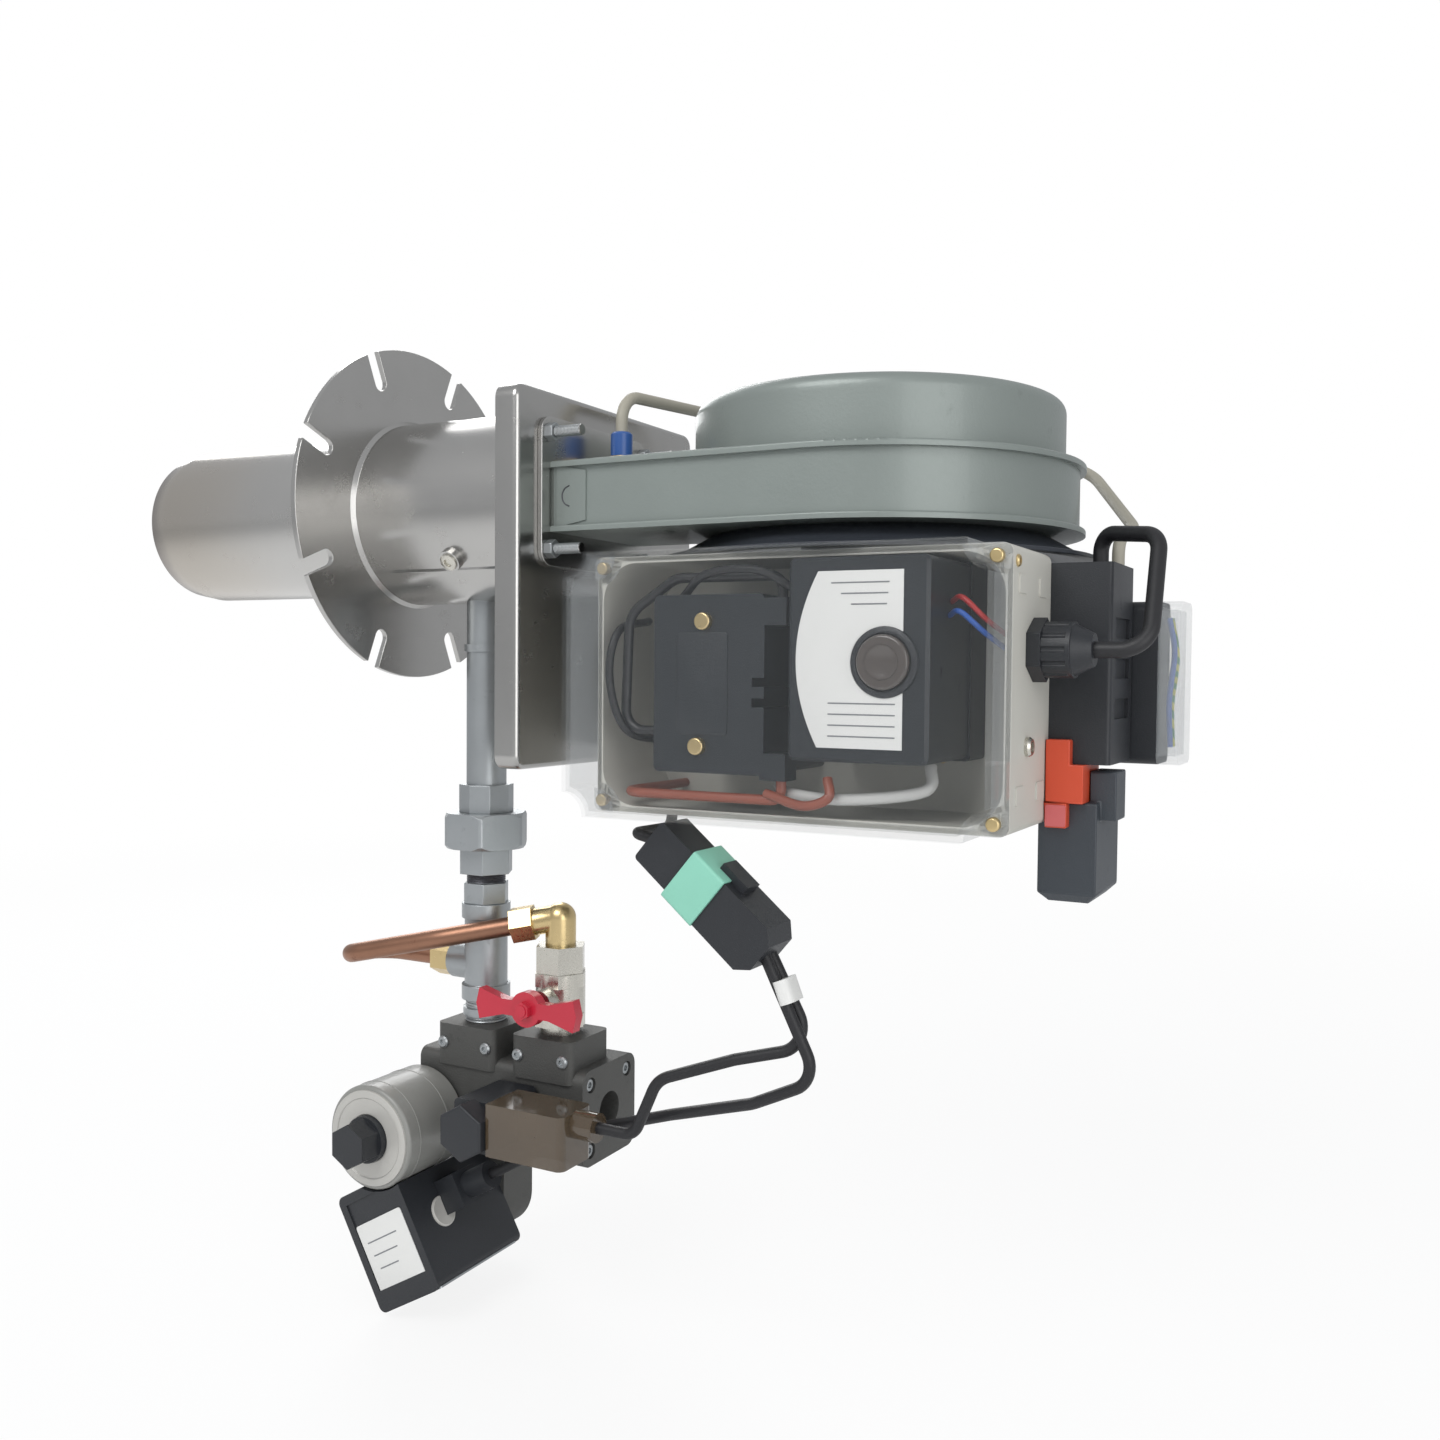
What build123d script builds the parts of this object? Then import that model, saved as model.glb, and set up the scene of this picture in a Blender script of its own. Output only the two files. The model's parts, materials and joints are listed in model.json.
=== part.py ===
from build123d import *
import os
from math import atan2, cos, degrees, radians, sin

os.makedirs("parts", exist_ok=True)

# Frame: +X runs back from the flame along the burner's axis, +Y away from the lid, +Z up.
# The origin is the centre of the mounting flange's furnace side. Millimetres.

# Burner head
TUBE_R = 44.0            # flame tube, outside
TUBE_WALL = 1.5
TUBE_LENGTH = 161.0
CRIMP_R = 41.5           # drawn-in mouth
CRIMP_LENGTH = 14.0
FLANGE_R = 89.0
FLANGE_T = 3.0
SLOT_COUNT = 8
SLOT_W = 8.5
SLOT_DEPTH = 20.0
HOUSING_R = 49.0         # mixing housing, outside
HOUSING_WALL = 2.0
HOUSING_END = 118.0      # where it meets the pan
WELD = 2.0
BOSS_R = 6.0
NOZZLE_R = 11.0
NOZZLE_BORE = 8.0
NOZZLE_FRONT = -58.0
NOZZLE_BACK = 108.0
DIFFUSER_X = -45.0
DIFFUSER_T = 1.5
DIFFUSER_GAP = 0.3       # disc to tube
CERAMIC_R = 3.0
WIRE_R = 0.8
ELECTRODES = [(-13.0, 21.0), (13.0, 21.0)]
PROBE = (24.0, -21.0)

# Mounting pan and the blower's outlet
SHEET = 2.0
PAN_Y = (-64.0, 102.0)
PAN_Z = (-132.0, 51.0)
PAN_LIP = 13.0
DUCT_Y = 38.0            # half width, outside
DUCT_Z = (-17.5, 16.5)
SKIN = 1.5               # blower sheet
OUTLET_Y = 48.0
OUTLET_Z = (-34.0, 38.0)
OUTLET_T = 2.5
STUD_R = 2.5
STUD_LENGTH = 22.0
STUD_Y = 42.5
STUD_Z = 28.0
NUT_T = 4.5
NUT_FLATS = 8.0

# Blower
SCROLL_STEP = 2.0        # growth of the scroll per quarter turn
SCROLL_R = 99.0          # radius beside the duct's near wall
AXIS_X = 251.0
RIM = 3.0                # lid's rim outside the wall
RIM_H = 3.0
DRUM_R = 92.0
DRUM_H = 31.5
DRUM_ROUND = 8.0
INLET_R = 46.0
WHEEL_R = 80.0
WHEEL_EYE = 50.0
WHEEL_T = 1.5
BLADES = 24
BLADE_T = 1.0
SHAFT_R = 4.0
RUN_GAP = 0.05           # radial, all running fits
DISH_R = 108.0
DISH_FLAT = 84.0
DISH_DROP = 12.5
MOTOR_R = 38.0
MOTOR_Z = -85.0
HOSE_R = 3.0

# Control box
BOX_X = (150.0, 350.0)
BOX_Z = (-151.0, -31.0)
BOX_BACK = 20.0
BOX_SPLIT = -40.0        # base and lid meet
LID_FRONT = -70.0
BOX_WALL = 3.0
LID_WALL = 2.5
POCKET_R = 18.0
NOTCH_R = 11.0
SCREW_INSET = 5.5
SCREW_R = 2.1
TRANSFORMER_X = (187.0, 243.0)
TRANSFORMER_Z = (-130.0, -50.0)
TRANSFORMER_FRONT = -50.0
CONTROL_X = (258.0, 321.0)
CONTROL_Z = (-122.0, -36.0)
CONTROL_FRONT = -58.0
CONTROL_SPLIT = -5.0
BUTTON = (302.0, -80.0)
BUTTON_R = 11.5
BUTTON_TRAVEL = 2.5
BUTTON_PROUD = 4.0
BUTTON_LENGTH = 9.5
LEAD_R = 2.3
BRACKET_X = 335.0        # face that carries the socket
BRACKET_Z = (-125.0, -45.0)
GLAND = (-8.0, -74.0)
GLAND_FLATS = 24.0
CABLE_R = 3.5
SOCKET_SIZE = (42.0, 46.0, 89.0)
SOCKET_BOTTOM = -124.0
PLUG_TOP = -141.0
SWITCH_X = 388.0
SWITCH_Y = (68.0, 100.0)
SWITCH_Z = (-126.0, -50.0)

# Gas train
COLUMN1_X = 52.0
COLUMN2_X = 101.0
PIPE_R = 10.65           # half-inch pipe
PIPE_BORE = 8.0
UNION_TOP = -146.0
UNION_FLATS = 27.0
NUT_TOP = -161.0
UNION_NUT_FLATS = 41.0
NUT_BOTTOM = -180.0
UNION_BOTTOM = -194.0
NIPPLE_TOP = -199.0
TEE_TOP = -210.0
TEE_BOTTOM = -262.0
BRANCH_Z = -243.0
BLOCK_TOP = -274.0
BLOCK_X = (20.0, 112.0)
BLOCK_Y = (-16.0, 34.0)
BLOCK_Z = (-338.0, -290.0)
INLET_FACE = 126.0
INLET_YZ = (9.0, -314.0)
INLET_THREAD_R = 9.3
ELBOW_Z = -214.0
VALVE_TOP = -242.0
VALVE_BOTTOM = -270.0
BALL_R = 9.5
STEM_R = 3.0
HANDLE_Y = (-31.0, -25.0)
HANDLE_HALF = 31.0
COPPER_R = 5.0
MAIN_COIL = (24.0, -326.0)
MAIN_COIL_R = 27.0
COIL_FRONT = -60.0
COIL_BACK = -18.0
MAIN_PLUNGER_R = 6.0
PILOT_COIL = (86.0, -312.0)
PILOT_HALF = 13.0
PILOT_FRONT = -52.0
PILOT_PLUNGER_R = 4.0
PLUNGER_TRAVEL = 3.0
COIL_BOX = (36.2, -378.6)
COIL_BOX_SIZE = (44.0, 68.0, 62.0)
COIL_BOX_TILT = 30.0
COIL_BOX_FRONT = -60.0
NOTCH_GAP = 0.8
DIN_X = 144.0
DIN_Y = (-60.0, -34.0)
DIN_Z = (-322.0, -296.0)
DIN_GLAND = (-47.0, -302.0)
INLINE = (214.0, -40.0, -186.0)
INLINE_TILT = 40.0
INLINE_HALF = 38.0
VALVE_CABLE_R = 2.75

AXIS_Y = SCROLL_R - DUCT_Y
PAN_BACK = HOUSING_END + SHEET
DUCT_START = PAN_BACK + OUTLET_T
LID_TOP = DUCT_Z[1]
DISH_BOTTOM = DUCT_Z[0] - SHEET


def block(x, y, z):
    """Box between two limits on each axis."""
    size = (x[1] - x[0], y[1] - y[0], z[1] - z[0])
    middle = (sum(x) / 2, sum(y) / 2, sum(z) / 2)
    return Pos(*middle) * Box(*size)


def along(start, end):
    """Plane at start whose normal points to end, and the distance."""
    way = Vector(*end) - Vector(*start)
    return Plane(origin=Vector(*start), z_dir=way), way.length


def rod(start, end, radius):
    plane, length = along(start, end)
    return extrude(plane * Circle(radius), length)


def ring(start, end, radius, bore):
    plane, length = along(start, end)
    return extrude(plane * (Circle(radius) - Circle(bore)), length)


def prism(start, end, flats, sides=6):
    """Bar with even sides, measured across its flats."""
    plane, length = along(start, end)
    corner = flats / 2 / cos(radians(180 / sides))
    return extrude(plane * RegularPolygon(corner, sides), length)


def lead(points, radii, radius):
    """Round lead along straight runs joined by arcs."""
    path = FilletPolyline(*points, radius=radii)
    section = Plane(origin=path @ 0, z_dir=path % 0) * Circle(radius)
    return sweep(section, path=path)


def on_x(x, y=0.0, z=0.0):
    return (x, y, z)


def save(name, *solids):
    """Writes one node; its solids stay separate."""
    bodies = [s for shape in solids for s in shape.solids()]
    node = bodies[0] if len(bodies) == 1 else Compound(children=bodies)
    export_step(node, f"parts/{name}.step")
    print(name, len(bodies), round(sum(s.volume for s in bodies), 1))


def turned_on_x(points):
    """Solid turned about the burner's axis from (along, radius) points."""
    return revolve(make_face(Polyline(*points, close=True)), Axis.X)


def turned_on_z(points, centre):
    """Solid turned about a vertical axis from (height, radius) points."""
    outline = Plane.XZ * Polyline(*[(r, h) for h, r in points], close=True)
    return Pos(*centre, 0) * revolve(make_face(outline), Axis.Z)


# ---- burner head ----

def flame_tube():
    inner = TUBE_R - TUBE_WALL
    mouth = -TUBE_LENGTH
    return turned_on_x([(0, inner), (0, TUBE_R), (mouth + CRIMP_LENGTH, TUBE_R), (mouth, CRIMP_R),
                        (mouth, CRIMP_R - TUBE_WALL), (mouth + CRIMP_LENGTH, inner)])


def mounting_flange():
    disc = ring(on_x(0), on_x(FLANGE_T), FLANGE_R, TUBE_R - TUBE_WALL)
    bottom = FLANGE_R - SLOT_DEPTH + SLOT_W / 2
    slot = Rectangle(SLOT_DEPTH * 2, SLOT_W, align=(Align.MIN, Align.CENTER)) + Circle(SLOT_W / 2)
    for i in range(SLOT_COUNT):
        turn = Rot(0, 0, (i + 0.5) * 360 / SLOT_COUNT)
        disc -= extrude(Plane.YZ * (turn * Pos(bottom, 0) * slot), FLANGE_T)
    return disc


def boss_axis():
    """Start and end of the test boss on the housing's side."""
    lean = radians(-35)
    foot = HOUSING_R - HOUSING_WALL
    top = HOUSING_R + 4
    return [(62.0, -r * cos(lean), r * sin(lean)) for r in (foot, top)]


def mixing_housing():
    shell = ring(on_x(FLANGE_T), on_x(HOUSING_END), HOUSING_R, HOUSING_R - HOUSING_WALL)
    weld = turned_on_x([(FLANGE_T, HOUSING_R), (FLANGE_T, HOUSING_R + WELD), (FLANGE_T + WELD, HOUSING_R)])
    shell += weld
    foot, top = boss_axis()
    shell += rod(foot, top, BOSS_R) - rod(on_x(0), on_x(HOUSING_END), HOUSING_R - HOUSING_WALL)
    return shell - rod((COLUMN1_X, 0, 0), (COLUMN1_X, 0, -HOUSING_R * 1.2), PIPE_R)


def diffuser_disc():
    disc = ring(on_x(DIFFUSER_X), on_x(DIFFUSER_X + DIFFUSER_T),
                TUBE_R - TUBE_WALL - DIFFUSER_GAP, NOZZLE_R)
    slot = Pos(27, 0) * SlotOverall(20, 3)
    for i in range(12):
        disc -= extrude(Plane.YZ.offset(DIFFUSER_X) * (Rot(0, 0, 15 + i * 30) * slot), DIFFUSER_T)
    for y, z in ELECTRODES + [PROBE]:
        disc -= rod(on_x(DIFFUSER_X, y, z), on_x(DIFFUSER_X + DIFFUSER_T, y, z), CERAMIC_R)
    return disc


def gas_nozzle():
    body = rod(on_x(NOZZLE_FRONT), on_x(NOZZLE_BACK), NOZZLE_R)
    body = chamfer(body.edges().group_by(Axis.X)[0], 3)
    body -= rod(on_x(NOZZLE_FRONT + 3), on_x(NOZZLE_BACK - 4), NOZZLE_BORE)
    body -= rod((COLUMN1_X, 0, 0), (COLUMN1_X, 0, -NOZZLE_R * 1.2), PIPE_BORE)
    for i in range(6):
        a = radians(60 * i)
        hole_x = NOZZLE_FRONT + 7
        tip = (hole_x, cos(a) * NOZZLE_R * 1.2, sin(a) * NOZZLE_R * 1.2)
        body -= rod(on_x(hole_x), tip, 1.5)
    return body


def electrode(y, z, reach, bend):
    ceramic = rod(on_x(DIFFUSER_X - 15, y, z), on_x(HOUSING_END, y, z), CERAMIC_R)
    tip = lead([(DIFFUSER_X - 15, y, z), (DIFFUSER_X - 25, y, z), (-reach, y * bend, z)], [4.0], WIRE_R)
    return ceramic, tip


def gas_inlet_pipe():
    pipe = ring((COLUMN1_X, 0, 0), (COLUMN1_X, 0, UNION_TOP), PIPE_R, PIPE_BORE)
    pipe += ring((COLUMN1_X, 0, -71), (COLUMN1_X, 0, -75), PIPE_R + 1.2, PIPE_BORE)
    return pipe - rod(on_x(NOZZLE_FRONT), on_x(NOZZLE_BACK), NOZZLE_R)


# ---- pan and blower ----

def stud_places():
    middle = sum(OUTLET_Z) / 2
    return [(y, middle + z) for y in (-STUD_Y, STUD_Y) for z in (-STUD_Z, STUD_Z)]


def duct_window():
    return block((HOUSING_END - 1, DUCT_START + 1), (SKIN - DUCT_Y + 2, DUCT_Y - SKIN - 2),
                 (DUCT_Z[0] + 3.5, DUCT_Z[1] - 3.5))


def mounting_pan():
    pan = block((HOUSING_END - PAN_LIP + SHEET, PAN_BACK), PAN_Y, PAN_Z)
    pan = fillet(pan.edges().filter_by(Axis.X), 7)
    pan = fillet(pan.edges().group_by(Axis.X)[-1], 3)
    inside = block((0, HOUSING_END), (PAN_Y[0] + SHEET, PAN_Y[1] - SHEET), (PAN_Z[0] + SHEET, PAN_Z[1] - SHEET))
    pan -= fillet(inside.edges().filter_by(Axis.X), 7 - SHEET)
    pan -= duct_window()
    for y, z in stud_places():
        pan += rod(on_x(HOUSING_END, y, z), on_x(PAN_BACK + STUD_LENGTH, y, z), STUD_R)
    return pan


def outlet_flange():
    plate = block((PAN_BACK, DUCT_START), (-OUTLET_Y, OUTLET_Y), OUTLET_Z)
    plate = fillet(plate.edges().filter_by(Axis.X), 8)
    plate -= duct_window()
    for y, z in stud_places():
        plate -= rod(on_x(PAN_BACK, y, z), on_x(DUCT_START, y, z), STUD_R)
    return plate


def outlet_nuts():
    nuts = []
    for y, z in stud_places():
        nut = prism(on_x(DUCT_START, y, z), on_x(DUCT_START + NUT_T, y, z), NUT_FLATS)
        nuts.append(nut - rod(on_x(DUCT_START, y, z), on_x(DUCT_START + NUT_T, y, z), STUD_R))
    return nuts


def scroll_outline(grow):
    """Volute seen from above: quarter arcs whose radius drops a step each, then the duct."""
    a = SCROLL_STEP
    r = SCROLL_R + grow
    last_r = r - 3 * a
    edge = DUCT_Y + grow
    drop = asin_deg((AXIS_Y + a - edge) / last_r)
    tongue = (AXIS_X - last_r * cos(radians(drop)), edge)
    lines = [
        CenterArc((AXIS_X, AXIS_Y), r, -90, 90),
        CenterArc((AXIS_X + a, AXIS_Y), r - a, 0, 90),
        CenterArc((AXIS_X + a, AXIS_Y + a), r - 2 * a, 90, 90),
        CenterArc((AXIS_X, AXIS_Y + a), last_r, 180, drop),
        Line(tongue, (DUCT_START, edge)),
        Line((DUCT_START, edge), (DUCT_START, AXIS_Y - r)),
        Line((DUCT_START, AXIS_Y - r), (AXIS_X, AXIS_Y - r)),
    ]
    return make_face(Wire([line.edge() for line in lines]))


def asin_deg(value):
    return degrees(atan2(value, (1 - value * value) ** 0.5))


def scroll_plate(grow, low, high):
    return extrude(Plane.XY.offset(low) * scroll_outline(grow), high - low)


def blower_volute():
    shell = scroll_plate(0, DUCT_Z[0], LID_TOP - SKIN)
    bead = scroll_plate(RIM, DUCT_Z[0], DUCT_Z[0] + RIM_H)
    shell += fillet(bead.edges().group_by(Axis.Z)[-1], 1.0)
    shell -= scroll_plate(-SKIN, DUCT_Z[0] + SKIN, LID_TOP)
    shell -= block((DUCT_START - 1, DUCT_START + SKIN * 4), (SKIN - DUCT_Y, DUCT_Y - SKIN),
                   (DUCT_Z[0] + SKIN, LID_TOP))
    return shell - rod((AXIS_X, AXIS_Y, DUCT_Z[0] - 1), (AXIS_X, AXIS_Y, 0), SHAFT_R * 3)


def blower_lid():
    lid = scroll_plate(RIM, LID_TOP - RIM_H, LID_TOP)
    lid = fillet(lid.edges().group_by(Axis.Z)[-1], 1.0)
    lid -= scroll_plate(0, LID_TOP - RIM_H - 1, LID_TOP - SKIN)
    return lid - rod((AXIS_X, AXIS_Y, 0), (AXIS_X, AXIS_Y, LID_TOP + 1), INLET_R)


def inlet_drum():
    """Plain wall of the air intake, standing on the lid."""
    wall = extrude(Circle(DRUM_R) - Circle(DRUM_R - SKIN), DRUM_H - DRUM_ROUND)
    return Pos(AXIS_X, AXIS_Y, LID_TOP) * wall


def inlet_cover():
    """Rounded top of the air intake with its round hole."""
    cover = extrude(Circle(DRUM_R), DRUM_ROUND)
    cover = fillet(cover.edges().group_by(Axis.Z)[-1], DRUM_ROUND - SKIN)
    hollow = extrude(Circle(DRUM_R - SKIN), DRUM_ROUND - SKIN)
    cover -= fillet(hollow.edges().group_by(Axis.Z)[-1], DRUM_ROUND - 2 * SKIN)
    cover -= Cylinder(INLET_R, 4 * DRUM_ROUND)
    return Pos(AXIS_X, AXIS_Y, LID_TOP + DRUM_H - DRUM_ROUND) * cover


def impeller():
    """Wheel with swept-back blades between a back disc and a shroud ring."""
    low = DUCT_Z[0] + SKIN + 4
    high = LID_TOP - SKIN - 4
    wheel = extrude(Circle(WHEEL_R) - Circle(SHAFT_R), WHEEL_T)
    wheel += extrude(Circle(14) - Circle(SHAFT_R), high - low - 6)
    wheel += Pos(0, 0, high - low - WHEEL_T) * extrude(Circle(WHEEL_R) - Circle(WHEEL_EYE), WHEEL_T)
    inner_r = WHEEL_EYE + 2
    outer_r = WHEEL_R - 3
    sweep_angle = radians(22)
    inner = (inner_r, 0)
    outer = (outer_r * cos(sweep_angle), outer_r * sin(sweep_angle))
    middle_r = (inner_r + outer_r) / 2
    middle = (middle_r * cos(sweep_angle * 0.38), middle_r * sin(sweep_angle * 0.38))
    camber = ThreePointArc(inner, middle, outer)
    blade = extrude(make_face(offset(camber, BLADE_T / 2, side=Side.BOTH)), high - low - WHEEL_T)
    for i in range(BLADES):
        wheel += Pos(0, 0, WHEEL_T / 2) * (Rot(0, 0, i * 360 / BLADES) * blade)
    return Pos(AXIS_X, AXIS_Y, low) * wheel


def motor_shaft():
    return rod((AXIS_X, AXIS_Y, MOTOR_Z + 6), (AXIS_X, AXIS_Y, 6), SHAFT_R)


def motor_dish():
    low = DUCT_Z[0]
    outline = [(low, SHAFT_R * 3), (low, DISH_FLAT), (low - DISH_DROP + SHEET, DISH_R - 5),
               (low - DISH_DROP + SHEET, DISH_R), (low - DISH_DROP, DISH_R),
               (low - DISH_DROP, DISH_R - 6), (low - SHEET, DISH_FLAT - 1), (low - SHEET, SHAFT_R * 3)]
    return turned_on_z(outline, (AXIS_X, AXIS_Y))


def motor_housing():
    can = rod((AXIS_X, AXIS_Y, MOTOR_Z), (AXIS_X, AXIS_Y, DISH_BOTTOM), MOTOR_R)
    can = fillet(can.edges().group_by(Axis.Z)[0], 6)
    for i in range(4):
        z = MOTOR_Z + 18 + 9 * i
        can -= ring((AXIS_X, AXIS_Y, z), (AXIS_X, AXIS_Y, z + 3), MOTOR_R + 1, MOTOR_R - 2)
    return can - rod((AXIS_X, AXIS_Y, MOTOR_Z + 5), (AXIS_X, AXIS_Y, 0), SHAFT_R + RUN_GAP)


FITTING = (137.0, 0.0)
FITTING_TOP = LID_TOP + 7
HOSE_START = FITTING_TOP + 12
HOSE_END = (366.0, 84.0, SWITCH_Z[1] + 9)


def air_fitting():
    return prism((*FITTING, LID_TOP), (*FITTING, FITTING_TOP), 11)


def air_collar():
    return chamfer(rod((*FITTING, FITTING_TOP), (*FITTING, HOSE_START), 5.5).edges().group_by(Axis.Z)[-1], 1)


def air_hose():
    x, y, z = HOSE_END
    points = [(*FITTING, HOSE_START), (*FITTING, HOSE_START + 19), (143, 75, 58), (190, 172, 50),
              (330, 172, 30), (x, y + 36, -10), (x, y, -20), (x, y, z)]
    return lead(points, [14, 45, 45, 40, 12, 10], HOSE_R)


# ---- control box ----

def box_centre():
    return (sum(BOX_X) / 2, sum(BOX_Z) / 2)


def box_sheet(shape, front, back):
    """Flat outline in X and Z, drawn out along Y between two limits."""
    cx, cz = box_centre()
    plane = Plane(origin=(cx, back, cz), x_dir=(1, 0, 0), z_dir=(0, -1, 0))
    return extrude(plane * shape, back - front)


def screw_places():
    return [(x, z) for x in (BOX_X[0] + SCREW_INSET, BOX_X[1] - SCREW_INSET)
            for z in (BOX_Z[0] + SCREW_INSET, BOX_Z[1] - SCREW_INSET)]


def box_outline():
    return RectangleRounded(BOX_X[1] - BOX_X[0], BOX_Z[1] - BOX_Z[0], 4)


def notched_outline():
    outline = box_outline()
    for sx in (-1, 1):
        for sz in (-1, 1):
            corner = (sx * (BOX_X[1] - BOX_X[0]) / 2, sz * (BOX_Z[1] - BOX_Z[0]) / 2)
            outline -= Pos(*corner) * Circle(NOTCH_R)
    return outline


def box_base():
    inside = RectangleRounded(BOX_X[1] - BOX_X[0] - 2 * BOX_WALL, BOX_Z[1] - BOX_Z[0] - 2 * BOX_WALL, POCKET_R)
    base = box_sheet(box_outline(), BOX_SPLIT, BOX_BACK)
    base -= box_sheet(inside, BOX_SPLIT, BOX_BACK - BOX_WALL)
    for x, z in screw_places():
        base -= rod((x, BOX_SPLIT, z), (x, BOX_SPLIT + 16, z), SCREW_R)
    return base


def box_lid():
    notched = notched_outline()
    inside = offset(notched, -LID_WALL)
    lid = box_sheet(notched, LID_FRONT, BOX_SPLIT) - box_sheet(inside, LID_FRONT + LID_WALL, BOX_SPLIT)
    lid += box_sheet(box_outline() - inside, BOX_SPLIT - BOX_WALL, BOX_SPLIT)
    for x, z in screw_places():
        lid -= rod((x, BOX_SPLIT - BOX_WALL, z), (x, BOX_SPLIT, z), SCREW_R)
    return lid


def screw(x, z, seat, length, head_r):
    head = rod((x, seat, z), (x, seat - 3, z), head_r)
    head = fillet(head.edges().group_by(Axis.Y)[0], 1)
    return head + rod((x, seat, z), (x, seat + length, z), SCREW_R)


TRANSFORMER_SCREWS = [(213.0, -62.0), (210.0, -118.0)]


def box_screws():
    screws = [screw(x, z, BOX_SPLIT - BOX_WALL, 16, 3) for x, z in screw_places()]
    screws += [screw(x, z, TRANSFORMER_FRONT, 12, 4) for x, z in TRANSFORMER_SCREWS]
    return screws


def ignition_transformer():
    body = block(TRANSFORMER_X, (TRANSFORMER_FRONT, BOX_BACK - BOX_WALL), TRANSFORMER_Z)
    body = fillet(body.edges().filter_by(Axis.Y), 3)
    right = TRANSFORMER_X[1]
    for z in (-91.0, -100.0):
        body -= block((right - 6, right), (TRANSFORMER_FRONT, 0), (z, z + 4))
    for z in (-64.0, -132.0):
        body += block((right - 2, right + 10.5), (-50, -38), (z, z + 12))
    for x, z in TRANSFORMER_SCREWS:
        body -= rod((x, TRANSFORMER_FRONT, z), (x, TRANSFORMER_FRONT + 12, z), SCREW_R)
    return body


def burner_control():
    body = block(CONTROL_X, (CONTROL_FRONT, CONTROL_SPLIT), CONTROL_Z)
    body = fillet(body.edges().filter_by(Axis.Y), 3)
    body = chamfer(body.edges().group_by(Axis.Y)[0], 1.5)
    x, z = BUTTON
    depth = BUTTON_LENGTH - BUTTON_PROUD + BUTTON_TRAVEL + 0.5
    return body - rod((x, CONTROL_FRONT, z), (x, CONTROL_FRONT + depth, z), BUTTON_R + RUN_GAP)


def control_base():
    base = block((CONTROL_X[0] - 1, CONTROL_X[1] + 1), (CONTROL_SPLIT, BOX_BACK - BOX_WALL),
                 (CONTROL_Z[0] - 1, CONTROL_Z[1] + 1))
    return fillet(base.edges().filter_by(Axis.Y), 2)


def reset_button():
    x, z = BUTTON
    front = CONTROL_FRONT - BUTTON_PROUD
    button = rod((x, front, z), (x, front + BUTTON_LENGTH, z), BUTTON_R)
    return fillet(button.edges().group_by(Axis.Y)[0], 1.5)


def hv_leads():
    top, bottom = -44.0, -141.0
    x = TRANSFORMER_X[1] + 6
    black = lead([(x, top, -52), (x, top, -42), (195, top, -42), (170, top, -58), (168, top, -112),
                  (TRANSFORMER_X[0], top, -112)], [6, 14, 14, 10], LEAD_R)
    brown = lead([(x, top, TRANSFORMER_Z[0] - 2), (x, top, bottom), (166, top, bottom),
                  (166, BOX_BACK - BOX_WALL, bottom)], [5, 12], LEAD_R)
    return black, brown


def box_bracket():
    plate = block((PAN_BACK, BRACKET_X), (BOX_BACK, BOX_BACK + SHEET), BRACKET_Z)
    plate += block((PAN_BACK, PAN_BACK + SHEET), (BOX_BACK, BOX_BACK + 30), BRACKET_Z)
    return plate + block((BRACKET_X - SHEET, BRACKET_X), (BOX_BACK, SWITCH_Y[1]), (-140, -36))


def gland_body():
    y, z = GLAND
    right = BOX_X[1]
    return prism((right, y, z), (right + 6, y, z), GLAND_FLATS)


def gland_nut():
    y, z = GLAND
    x = BOX_X[1] + 6
    nut = rod((x, y, z), (x + 12, y, z), GLAND_FLATS / 2)
    for i in range(12):
        a = radians(30 * i)
        flute = (x, y + cos(a) * (GLAND_FLATS / 2 + 0.6), z + sin(a) * (GLAND_FLATS / 2 + 0.6))
        nut -= rod(flute, (x + 10, flute[1], flute[2]), 1.4)
    plane = Plane(origin=(x + 12, y, z), z_dir=(1, 0, 0))
    nut += loft([plane * Circle(GLAND_FLATS / 2 - 1), plane.offset(8) * Circle(CABLE_R * 2)])
    return nut - rod((x, y, z), (x + 20, y, z), CABLE_R)


def blower_cable():
    y, z = GLAND
    x = BOX_X[1] + 6
    return lead([(x, y, z), (398, y, z), (396, 22, -24), (366, 46, -20), (366, 46, SOCKET_BOTTOM + SOCKET_SIZE[2])],
                [12, 14, 8], CABLE_R)


def terminal_socket():
    w, d, h = SOCKET_SIZE
    body = block((BRACKET_X, BRACKET_X + w), (BOX_BACK, BOX_BACK + d), (SOCKET_BOTTOM, SOCKET_BOTTOM + h))
    body = fillet(body.edges().filter_by(Axis.Z), 2)
    for i in range(3):
        z = SOCKET_BOTTOM + 20 + 18 * i
        body -= block((BRACKET_X + w - 1.5, BRACKET_X + w), (BOX_BACK + 8, BOX_BACK + d - 8), (z, z + 9))
    return body


def lock_pieces():
    front = BOX_BACK - 6
    upper = block((350.5, 361), (front, BOX_BACK), (SOCKET_BOTTOM, SOCKET_BOTTOM + 11))
    upper += block((350.5, 367), (front, BOX_BACK + 26), (PLUG_TOP, SOCKET_BOTTOM))
    lower = block((350.5, 360), (front, BOX_BACK), (PLUG_TOP - 11, PLUG_TOP))
    return upper, lower


def grey_plug():
    plug = block((346, 372), (BOX_BACK, BOX_BACK + 46), (-186, PLUG_TOP))
    plug = chamfer(plug.edges().group_by(Axis.Z)[0], 4)
    plug += block((367.5, 379), (BOX_BACK + 6, BOX_BACK + 26), (PLUG_TOP - 8, PLUG_TOP + 14))
    return plug


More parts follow.
